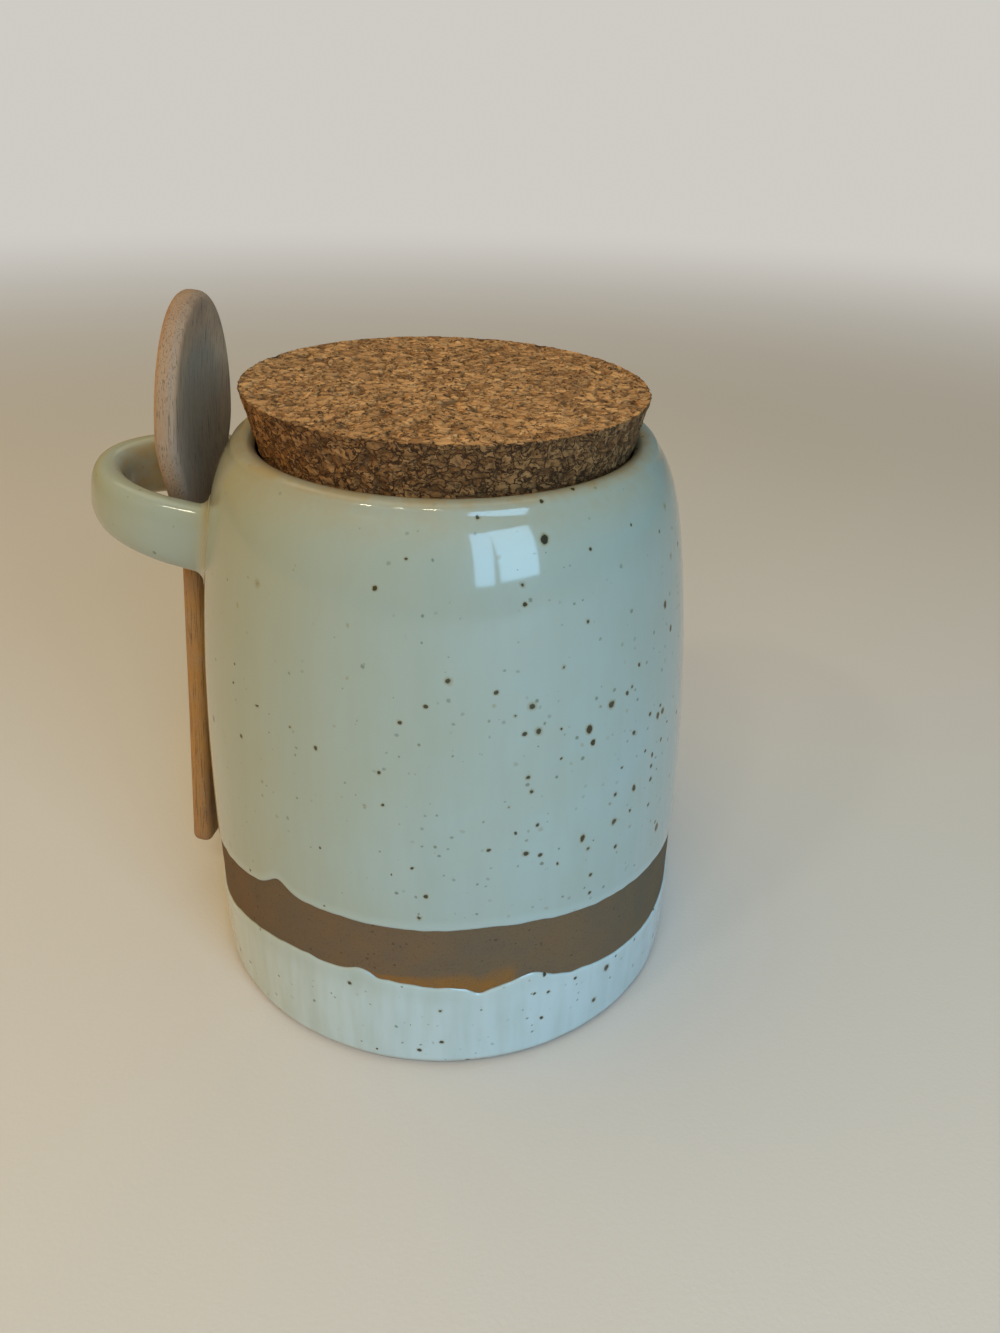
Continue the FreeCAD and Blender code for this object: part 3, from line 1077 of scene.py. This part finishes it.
@dataclass
class Loop(Piece):
    """Pulled strap of rounded-square section that runs out of the wall, round its nose and back."""

    slot: ClassVar[str] = "stoneware_glaze"
    node: ClassVar[str] = "jar"
    wall: Wall
    frame: LoopFrame
    height: float = 99.8 * MM
    reach: float = 28.0 * MM
    gap: float = 25.0 * MM
    nose: float = 27.0 * MM
    climb: float = 7.0
    tilt: float = 6.2
    strap_height: float = 14.4 * MM
    strap_thickness: float = 6.6 * MM
    taper: float = 0.12
    swell: float = 0.10
    squareness: float = 2.5
    lean: float = 9.0
    fillet: float = 2.2 * MM
    root: float = 2.6 * MM
    nose_swing: float = 78.0
    around: int = 112
    nose_rows: int = 150
    root_rows: int = 9
    join_rows: int = 6
    unevenness: float = 0.10 * MM
    seam_depth: float = 0.7 * MM
    seam_share: float = 0.80

    @property
    def wall_here(self) -> float:
        """The wall's radius at the middle of the strap."""
        return self.wall.radius_at(self.height)

    @property
    def leg(self) -> float:
        """Middle of the loop to the middle of each leg."""
        return (self.gap + self.strap_thickness) / 2

    @property
    def nose_depth(self) -> float:
        """Radial depth of the nose along the middle of the strap."""
        return self.nose - self.strap_thickness / 2

    @property
    def nose_start(self) -> float:
        """Distance from the jar's axis at which the nose begins."""
        return self.wall_here + self.reach - self.nose

    def middle_height(self, radial: Array, across: Array) -> Array:
        """Height of the strap's middle: it climbs outwards and drops towards the front."""
        climb = (radial - self.wall_here) * math.tan(math.radians(self.climb))
        return self.height + climb - across * math.tan(math.radians(self.tilt))

    def section(self, turn: Array, angle: Array, radial: Array, across: Array, grown: Array) -> Array:
        """Rounded-square section, leaning inwards by the lean times the cosine of its turn.

        Args:
            turn: Place round the nose, 0 at its tip.
            angle: Place round the section.
            radial: The section's middle, away from the axis.
            across: The section's middle, across the loop.
            grown: How much larger the section is on every side.

        Returns:
            Places in the loop's frame.
        """
        spread, rise = superellipse(angle, self.squareness)
        outwards = np.stack([self.leg * np.cos(turn), self.nose_depth * np.sin(turn)], axis=-1)
        outwards = outwards / np.linalg.norm(outwards, axis=-1, keepdims=True)
        lean = math.radians(self.lean) * np.cos(turn)
        tall = rise * (self.strap_height / 2 * (1 - self.taper * np.cos(turn)) + grown)
        wide = spread * (self.strap_thickness / 2 * (1 + self.swell * np.cos(turn)) + grown)
        out = wide * np.cos(lean) - tall * np.sin(lean)
        return np.stack([
            radial + outwards[..., 0] * out,
            across + outwards[..., 1] * out,
            self.middle_height(radial, across) + tall * np.cos(lean) + wide * np.sin(lean),
        ], axis=-1)

    def root_flare(self, side: float, angle: Array) -> Array:
        """Rows that flare onto the wall as a quarter circle, from inside the wall outwards.

        Args:
            side: 1 for the front leg, -1 for the far one.
            angle: Places round the section.

        Returns:
            Places in the loop's frame, each at its own distance from the wall.
        """
        swing = math.pi / 2 * steps(self.root_rows)
        away = np.vstack([[[-self.root]], self.fillet * (1 - np.cos(swing)), [[self.fillet]]])
        grown = np.vstack([[[self.fillet]], self.fillet * (1 - np.sin(swing)), [[0.0]]])
        turn = np.full_like(away, side * math.pi / 2)
        radial = np.full((len(away), angle.shape[1]), self.wall_here)
        for _ in range(3):
            places = self.section(turn, angle, radial, np.full_like(radial, side * self.leg), grown)
            radial = np.sqrt(self.wall.radius(places[..., 2]) ** 2 - places[..., 1] ** 2) + away
        places[..., 0] = radial
        return places

    def build(self) -> Grid:
        """Sweep the section from the front leg round the nose to the far leg.

        Returns:
            The loop's surface, with both ends inside the wall.
        """
        angle = turns(self.around) + math.pi / self.around
        share = np.arange(self.nose_rows + 1)[:, None] / self.nose_rows
        turn = math.radians(self.nose_swing) * (1 - 2 * share)
        full = np.ones_like(angle)
        radial = self.nose_start + self.nose_depth * np.cos(turn) * full
        nose = self.section(turn, angle, radial, self.leg * np.sin(turn) * full, np.zeros_like(turn))
        front, far = self.root_flare(1.0, angle), self.root_flare(-1.0, angle)[::-1]
        share = steps(self.join_rows)[1:, :, None]
        gaps = ((front[-1:], nose[:1]), (nose[-1:], far[:1]))
        joins = [first + (last - first) * share for first, last in gaps]
        rows = np.vstack([front, joins[0], nose, joins[1], far])
        outwards = rows - rows.mean(axis=1, keepdims=True)
        outwards /= np.maximum(np.linalg.norm(outwards, axis=-1, keepdims=True), 1e-9)
        dip = self.unevenness * (1 + soft_noise(rows, 7 * MM, 31)) / 2
        dip = dip + self.seam(len(front) + len(joins[0]), len(rows), angle)
        rows = rows - outwards * dip[..., None]
        middles = np.broadcast_to(rows.mean(axis=1, keepdims=True), rows.shape)
        rows = np.vstack([middles[:1], rows, middles[-1:]])
        fields = {"rim": np.ones((1, 1)), "thin": self.wear(len(rows), angle)}
        return Grid("jar_loop", self.frame.to_jar(rows), fields)

    def seam(self, first: int, count: int, angle: Array) -> Array:
        """Shallow overlap on the inside of the far leg: a bell-curved furrow across the strap.

        Args:
            first: The nose's first row.
            count: Number of rows.
            angle: Places round the section.

        Returns:
            Its depth at each row and column.
        """
        row = np.arange(count)[:, None]
        middle = first + self.nose_rows * self.seam_share + 5.0 * np.sin(angle)
        return self.seam_depth * ease(-0.2, -0.8, np.cos(angle)) * bell(row - middle, 1.6)

    @staticmethod
    def wear(count: int, angle: Array) -> Array:
        """Where the glaze is thin: on the strap's edges, on its inside, which also carries painted shade,
        and on the rim of its roots.

        Args:
            count: Number of rows.
            angle: Places round the section.

        Returns:
            How thin it is, and inside the strap how deep the painted shade is, from 0 to 1.
        """
        edges = 0.35 * bell(np.sin(angle) + 1.0, 0.06) + 0.12 * bell(np.sin(angle) - 1.0, 0.05)
        row = np.arange(count)[:, None]
        roots = 0.55 * bell(np.minimum(row, count - 1 - row) - 4.0, 2.5)
        # The inside term is thin glaze and also painted shade inside the loop.
        return np.clip(edges + ease(0.1, -0.7, np.cos(angle)) + roots, 0.0, 1.0)


# ---------------------------------------------------------------- the cork
@dataclass
class CorkLid(Piece):
    """Tapered cork pushed into the mouth, slightly tilted, with crumbled gaps and nicked edges."""

    slot: ClassVar[str] = "cork"
    node: ClassVar[str] = "cork_lid"
    wall: Wall
    taper: float = 0.24
    thickness: float = 24.0 * MM
    proud: float = 9.3 * MM
    rounding: float = 0.5 * MM
    clearance: float = 0.2 * MM
    tilt: float = 0.8
    columns: int = 480
    top_rows: int = 122
    edge_rows: int = 6
    side_rows: int = 42
    bottom_rows: int = 8
    granule: Point = (2.6 * MM, 2.3 * MM, 1.5 * MM)
    gap_depth: float = 0.22 * MM
    granule_relief: float = 0.18 * MM
    grit: float = 0.10 * MM
    pit_count: int = 230
    side_pits: float = 0.45
    seed: int = 7

    def outline(self) -> tuple[Array, Array, Array]:
        """The cork's section: top, rounded edge, tapered side, rounded edge and underside.

        Returns:
            Radius, height, and how far the side counts against the flat ends, for each row.
        """
        top = self.wall.height + self.proud
        bottom = top - self.thickness
        top_radius = self.wall.throat - self.clearance + self.taper * (top - self.wall.lip_start)
        bottom_radius = top_radius - self.taper * self.thickness
        small = self.rounding
        edge = math.pi / 2 * steps(self.edge_rows)
        side = steps(self.side_rows)
        inwards = np.linspace(1, 0, self.bottom_rows)[:, None]
        stretches = (
            ((top_radius - small) * steps(self.top_rows), top, 0.0),
            (top_radius - small * (1 - np.sin(edge)), top - small * (1 - np.cos(edge)), np.sin(edge)),
            (top_radius - small * self.taper + (bottom_radius - top_radius) * side,
             top - small + (bottom - top + 2 * small) * side, 1.0),
            (bottom_radius - small * (1 - np.cos(edge)), bottom + small * (1 - np.sin(edge)), np.cos(edge)),
            ((bottom_radius - small) * inwards, bottom, 0.0),
        )
        rows = [np.broadcast_arrays(*stretch) for stretch in stretches]
        radius, height, lateral = (np.vstack(part) for part in zip(*rows))
        return radius, height, lateral

    def build(self) -> Grid:
        """Turn the section, then sink gaps between granules, small pits and crumbled nicks into it.

        Returns:
            The cork's surface.
        """
        turn = turns(self.columns)
        radius, height, lateral = self.outline()
        places = polar(radius, turn, height)
        edge, tint = granules(places, self.granule, self.seed)
        hollow = self.pits(places, float(radius.max()), float(height.max()))
        relief = self.gap_depth * ease(0.16, 0.0, edge) + self.granule_relief * tint
        relief = relief + self.grit * (1 + soft_noise(places, 0.8 * MM, self.seed + 1)) + hollow
        gap = np.clip(ease(0.14, 0.0, edge) * 0.8 + hollow / (0.6 * MM), 0, 1)
        down = relief * (1 - lateral) * np.sign(height - float(height.mean()))
        places = polar(np.maximum(radius - relief * lateral, 0.0), turn, height - down)
        places[0], places[-1] = places[0].mean(axis=0), places[-1].mean(axis=0)
        # The "side" value also says where the cork's side gets its painted shade.
        return Grid("cork_stopper", self.tilted(places), {"gap": gap, "side": lateral})

    def pits(self, places: Array, radius: float, top: float) -> Array:
        """Depth of the pits, which are scattered over the top and the side.

        Args:
            places: Places on the cork.
            radius: The cork's greatest radius.
            top: Height of its top.

        Returns:
            One depth for each place.
        """
        draw, count = np.random.default_rng(self.seed), self.pit_count
        spin = draw.uniform(0, 2 * math.pi, count)
        ring = radius * np.sqrt(draw.uniform(0, 1.0, count))
        on_side = draw.uniform(0, 1, count) < self.side_pits
        ring = np.where(on_side, radius * 0.97, ring)
        up = np.where(on_side, top - draw.uniform(0.5, 14, count) * MM, top)
        widths, depths = draw.uniform(0.5, 1.1, count) * MM, draw.uniform(0.3, 0.8, count) * MM
        return pits(places, polar(ring, spin, up), widths, depths)

    def tilted(self, places: Array) -> Array:
        """Turn places about Y through the axis at the start of the lip, so that the +X side sinks."""
        x, y, z = np.moveaxis(places, -1, 0)
        x, z = turned(x, z - self.wall.lip_start, -self.tilt)
        return np.stack([x, y, z + self.wall.lip_start], axis=-1)


# ---------------------------------------------------------------- the spoon
@dataclass
class Spoon(Piece):
    """Flat wooden spoon that hangs in the loop by the shoulders of its bowl."""

    slot: ClassVar[str] = "spoon_wood"
    node: ClassVar[str] = "wooden_spoon"
    loop: Loop
    thickness: float = 4.7 * MM
    lean: float = 4.6
    lift: float = 11.0 * MM
    standoff: float = 3.9 * MM
    play: float = 0.6 * MM
    sway: float = 1.5
    seat: float = 5.2 * MM
    seat_slope: float = 0.42
    bowl_length: float = 41.8 * MM
    bowl_width: float = 28.8 * MM
    widest: float = 16.0 * MM
    roundness: float = 2.05
    hollow: float = 1.2 * MM
    rim: float = 2.6 * MM
    handle_width: float = 9.2 * MM
    neck: float = 14.0 * MM
    corner: float = 2.2 * MM
    rounding: float = 1.8 * MM
    face_rows: int = 25
    rim_rows: int = 6
    edge_rows: int = 4

    @property
    def radial(self) -> float:
        """The jar's axis to the middle of the spoon, at the strap."""
        return self.loop.wall_here + self.standoff + self.thickness / 2

    @property
    def pivot(self) -> float:
        """Height of the strap's middle at the spoon."""
        return float(self.loop.middle_height(np.array(self.radial), np.array(0.0)))

    @property
    def grip(self) -> float:
        """End of the handle to the middle of the strap."""
        return (self.pivot - self.lift) / math.cos(math.radians(self.lean))

    @property
    def seat_half(self) -> float:
        """Half width of the bowl where it bears on the strap."""
        loop = self.loop
        share = max(0.0, (self.radial + self.thickness / 2 - loop.nose_start) / loop.nose_depth)
        return loop.leg * math.sqrt(1 - share ** 2) - loop.strap_thickness / 2 - self.play

    def side(self) -> Array:
        """One side of the face, from handle end to tip: a corner, a neck, a shoulder and a superellipse.

        Returns:
            Half width and place along the spoon, one row a point.
        """
        half = self.handle_width / 2
        swing, bend = np.linspace(0, math.pi / 2, 9), self.corner
        corner = np.stack([half - bend * (1 - np.sin(swing)), bend * (1 - np.cos(swing))], axis=-1)
        start, end, top = self.grip - self.neck, self.grip + self.seat, self.grip + self.widest
        straight = np.stack([np.full(100, half), np.linspace(self.corner, start, 101)[1:]], axis=-1)
        seat = (self.seat_half, end)
        neck = self.bent((half, start), seat, 0.0, self.seat_slope, 34)
        shoulder = self.bent(seat, (self.bowl_width / 2, top), self.seat_slope, 0.0, 20)
        angle = np.linspace(0, math.pi / 2, 46)[1:]
        power = 2 / self.roundness
        across = self.bowl_width / 2 * np.cos(angle).clip(0) ** power
        along = top + (self.grip + self.bowl_length - top) * np.sin(angle) ** power
        return np.vstack([corner, straight, neck, shoulder, np.stack([across, along], axis=-1)])

    @staticmethod
    def bent(first: Pair, last: Pair, slope: float, end_slope: float, count: int) -> Array:
        """Cubic curve from one point to another.

        Args:
            first: Half width and place along the spoon at its start.
            last: The same at its end.
            slope: Slope of the width against the length at its start.
            end_slope: The same at its end.
            count: Number of points.

        Returns:
            Its points, less the first.
        """
        share = np.linspace(0, 1, count + 1)[1:]
        run = last[1] - first[1]
        width = (
            first[0] * (2 * share ** 3 - 3 * share ** 2 + 1)
            + last[0] * (3 * share ** 2 - 2 * share ** 3)
            + slope * run * (share ** 3 - 2 * share ** 2 + share)
            + end_slope * run * (share ** 3 - share ** 2)
        )
        return np.stack([width, first[1] + run * share], axis=-1)

    def build(self) -> Grid:
        """Run from the spine of one face over its rim, the edge and the other rim to the other spine.

        The outline is set in by the rounding times one less the sine on the rims, and the
        faces are straight lines from the set-in outline to the spine.  The face towards
        the jar is dished as part of an ellipsoid.

        Returns:
            The spoon's surface.
        """
        side = self.side()
        outline = np.vstack([side, side[-2:0:-1] * [-1, 1]])
        forward = np.roll(outline, -1, axis=0) - np.roll(outline, 1, axis=0)
        normal = np.stack([forward[:, 1], -forward[:, 0]], axis=-1)
        normal /= np.linalg.norm(normal, axis=-1, keepdims=True)
        inner = outline - normal * self.rounding
        spine = np.zeros_like(outline)
        last = self.grip + self.bowl_length - self.bowl_width / 2
        spine[:, 1] = np.clip(outline[:, 1], self.handle_width / 2, last)
        face = spine + (inner - spine) * np.linspace(0, 1, self.face_rows)[:, None, None]
        swing = np.linspace(0, math.pi / 2, self.rim_rows + 1)[1:, None]
        rim = inner + (outline - inner) * np.sin(swing)[..., None]
        edge = np.broadcast_to(outline, (self.edge_rows, *outline.shape))
        flat = np.vstack([face, rim, edge, rim[::-1], face[::-1]])
        half = self.thickness / 2
        face_depth = np.full((self.face_rows, 1), half)
        rim_depth = half - self.rounding * (1 - np.cos(swing))
        edge_depth = (half - self.rounding) * np.linspace(-1, 1, self.edge_rows + 2)[1:-1, None]
        depth = np.vstack([-face_depth, -rim_depth, edge_depth, rim_depth[::-1], face_depth])
        depth = self.dished(depth * np.ones(len(outline)), flat)
        local = np.stack([depth, flat[..., 0], flat[..., 1]], axis=-1)
        wear = 0.10 * MM * soft_noise(local * [1, 1, 0.25], 5 * MM, 41)
        local[..., 0] += wear * np.sign(-depth) * (np.abs(depth) > half * 0.4)
        handle = ease(self.grip + 4 * MM, self.grip - 12 * MM, local[..., 2])
        # The edge value also places the painted warm light on the spoon's edges, and warms the handle most
        # there.
        edge = ease(half - 0.2 * MM, half - 1.0 * MM, np.abs(depth))
        warm = handle * np.clip(0.75 + 0.7 * edge, 0, 1)
        fields = {"handle": warm, "edge": edge * (1 - handle), "grain_place": local}
        return Grid("hanging_spoon", self.hung(local), fields)

    def dished(self, depth: Array, flat: Array) -> Array:
        """Sink the face towards the jar to an ellipsoid as deep as the hollow, with a softened rim.

        Args:
            depth: Depth of each place in the wood, negative on the face towards the jar.
            flat: The same places on the flat: across and along the spoon.

        Returns:
            The new depths.
        """
        half_width, half_length = self.bowl_width / 2 - self.rim, self.bowl_length / 2 - self.rim
        radius = (half_width ** 2 + self.hollow ** 2) / (2 * self.hollow)
        along = (flat[..., 1] - self.grip - self.bowl_length / 2) * half_width / half_length
        under = np.maximum(radius ** 2 - flat[..., 0] ** 2 - along ** 2, 0.0)
        dish = self.hollow - radius - self.thickness / 2 + np.sqrt(under)
        soft = 0.15 * MM
        face = -self.thickness / 2
        level = (dish - 10 * soft).clip(max=face - 4 * soft)
        settle = soft * np.logaddexp(face / soft, level / soft) - face
        sunk = soft * np.logaddexp(depth / soft, dish / soft) - settle
        return np.where(depth < 0, np.maximum(depth, sunk), depth)

    def hung(self, local: Array) -> Array:
        """Carry places from the spoon's own frame to where it hangs: swayed, leant, moved and turned."""
        x, y, z = np.moveaxis(local, -1, 0)
        y, z = turned(y, z - self.grip, self.sway)
        x, z = turned(x, z, self.lean)
        return self.loop.frame.to_jar(np.stack([x + self.radial, y, z + self.pivot], axis=-1))


# ---------------------------------------------------------------- floor, light and camera
@dataclass(frozen=True)
class Lamp:
    """Soft rectangular lamp, which points at a target height on the jar's axis.

    Its power is in watts.  A lamp that is not mirrored does not show in the gloss.
    """

    name: str
    place: Point
    target: float
    size: Pair
    power: float
    colour: Colour
    mirrored: bool = True

    def add(self) -> None:
        """Put the lamp into the scene."""
        data = bpy.data.lights.new(self.name, "AREA")
        data.shape = "RECTANGLE"
        data.size, data.size_y = self.size
        data.energy = self.power
        data.color = self.colour
        made = add_object(self.name, data)
        made.location = self.place
        made.visible_glossy = self.mirrored
        made.rotation_euler = aim(np.array([0.0, 0.0, self.target]) - np.array(self.place))


@dataclass
class Studio:
    """Pale floor, soft lamps and the camera."""

    floor_size: float = 3.0
    floor_colour: Colour = (0.600, 0.570, 0.560)
    back_colour: Colour = (0.620, 0.600, 0.560)
    world_light: float = 0.32
    warm_side: Colour = (1.0, 0.58, 0.10)
    cool_side: Colour = (0.28, 0.58, 0.74)
    camera_place: Point = (0.0, -202.08 * MM, 180.34 * MM)
    camera_pan: float = 3.335
    camera_tilt: float = 29.56
    camera_roll: float = -1.502
    lens: float = 28.36
    sensor: float = 36.0
    lamps: tuple[Lamp, ...] = (
        Lamp("window_left", (0.24, -0.80, 0.39), 0.09, (0.14, 0.52), 1.8, (0.34, 0.66, 1.0)),
        Lamp("window_right", (0.44, -0.69, 0.40), 0.09, (0.28, 0.52), 3.6, (0.38, 0.70, 1.0)),
        Lamp("ceiling", (-0.15, 0.25, 1.05), 0.05, (1.1, 1.1), 3.1, (1.0, 0.92, 0.68)),
        Lamp("warm_wall", (-0.85, -0.10, 0.30), 0.07, (0.8, 0.8), 2.4, (1.0, 0.52, 0.06), mirrored=False),
        Lamp("room", (-0.10, -0.75, 0.75), 0.08, (0.6, 0.5), 3.1, (1.0, 0.86, 0.52), mirrored=False),
        Lamp("left_bulb", (-0.52, -0.46, 0.80), 0.11, (0.09, 0.035), 0.7, (1.0, 0.93, 0.70)),
        Lamp("middle_bulb", (-0.31, -0.55, 0.86), 0.11, (0.05, 0.03), 0.3, (1.0, 0.93, 0.70)),
        Lamp("front_bulb", (-0.11, -0.60, 0.92), 0.11, (0.10, 0.03), 0.7, (1.0, 0.93, 0.70)),
    )

    def build(self) -> None:
        """Make the floor, the world, the lamps and the camera."""
        self.floor()
        self.world()
        for lamp in self.lamps:
            lamp.add()
        self.camera()

    def floor(self) -> None:
        """Plain pale table top with a fine tooth, which fades to the background far away."""
        mesh = bpy.data.meshes.new("floor")
        half = self.floor_size / 2
        corners = [(x * half, y * half, 0) for x, y in ((-1, -1), (1, -1), (1, 1), (-1, 1))]
        mesh.from_pydata(corners, [], [(0, 1, 2, 3)])
        made = add_object("floor", mesh)
        material, graph = new_material("pale_table")
        place = graph.place()
        shader = graph.node("ShaderNodeBsdfPrincipled", {
            "Base Color": self.floor_colour,
            "Roughness": 0.7,
            "Specular IOR Level": 0.2,
            "Normal": graph.bump(graph.noise(place, 1100.0, 3.0), 0.06 * MM),
        })
        reach = graph.vector("LENGTH", place)["Value"]
        glow = graph.node("ShaderNodeEmission", {"Color": self.back_colour})
        fade = reach.ramp(0.35, 1.3) * graph.node("ShaderNodeLightPath")["Is Camera Ray"]
        mix = graph.node("ShaderNodeMixShader", {"Fac": fade, 1: shader["BSDF"], 2: glow["Emission"]})
        graph.node("ShaderNodeOutputMaterial", {"Surface": mix["Shader"]})
        mesh.materials.append(material)

    def world(self) -> None:
        """Light from all round, warmer from the left, and the plain background that the camera sees."""
        world = bpy.data.worlds.new("room")
        world.use_nodes = True
        world.node_tree.nodes.clear()
        graph = Graph(world.node_tree)
        rightwards = graph.node("ShaderNodeTexCoord")["Generated"].split()[0]
        tint = graph.layers(self.warm_side, (rightwards.ramp(-0.5, 0.7), self.cool_side))
        light = graph.node("ShaderNodeBackground", {"Color": tint, "Strength": self.world_light})
        seen = graph.node("ShaderNodeBackground", {"Color": self.back_colour, "Strength": 1.0})
        direct = graph.node("ShaderNodeLightPath")["Is Camera Ray"]
        mix = graph.node("ShaderNodeMixShader", {"Fac": direct, 1: light[0], 2: seen[0]})
        graph.node("ShaderNodeOutputWorld", {"Surface": mix["Shader"]})
        bpy.context.scene.world = world

    def camera(self) -> None:
        """Camera close in front of the jar and above it, looking down and slightly to the right."""
        data = bpy.data.cameras.new("camera")
        data.sensor_width = self.sensor
        data.lens = self.lens
        data.clip_start = 0.01
        made = add_object("camera", data)
        angles = (self.camera_pan, self.camera_tilt, self.camera_roll)
        pan, tilt, roll = (math.radians(angle) for angle in angles)
        ahead = np.array([math.sin(pan) * math.cos(tilt), math.cos(pan) * math.cos(tilt), -math.sin(tilt)])
        level = np.array([math.cos(pan), -math.sin(pan), 0.0])
        down = np.cross(ahead, level)
        axes = np.eye(4)
        axes[:3, 0] = math.cos(roll) * level + math.sin(roll) * down
        axes[:3, 1] = math.sin(roll) * level - math.cos(roll) * down
        axes[:3, 2] = -ahead
        axes[:3, 3] = self.camera_place
        made.matrix_world = Matrix(axes.tolist())
        bpy.context.scene.camera = made


def aim(direction: Array) -> tuple[float, float, float]:
    """Turn, in Euler angles, that points a lamp's -Z along a direction that is not upright."""
    x, y, z = direction / np.linalg.norm(direction)
    return (math.acos(-z), 0.0, math.atan2(-x, y))


# ---------------------------------------------------------------- the whole canister
def main() -> None:
    """Build every piece in order, dress it, and set up the studio."""
    logging.basicConfig(level=logging.INFO, format="%(name)s: %(message)s")
    bpy.context.scene.view_settings.view_transform = "Standard"
    wall, band, shared = Wall(), Band(), SharedEffects()
    loop = Loop(wall, LoopFrame())
    glaze = GlazeFinish(wall).material(shared)
    clay = ClayFinish().material(shared)
    cork = CorkFinish().material(shared)
    wood = WoodFinish().material(shared)
    for piece, finishes in (
        (JarBody(wall, band), (glaze, clay)),
        (ClayBand(wall, band), (clay,)),
        (loop, (glaze,)),
        (CorkLid(wall), (cork,)),
        (Spoon(loop), (wood,)),
    ):
        piece.dress(piece.build(), *finishes)
    Studio().build()
    LOG.info("all pieces built")


if __name__ == "__main__":
    main()
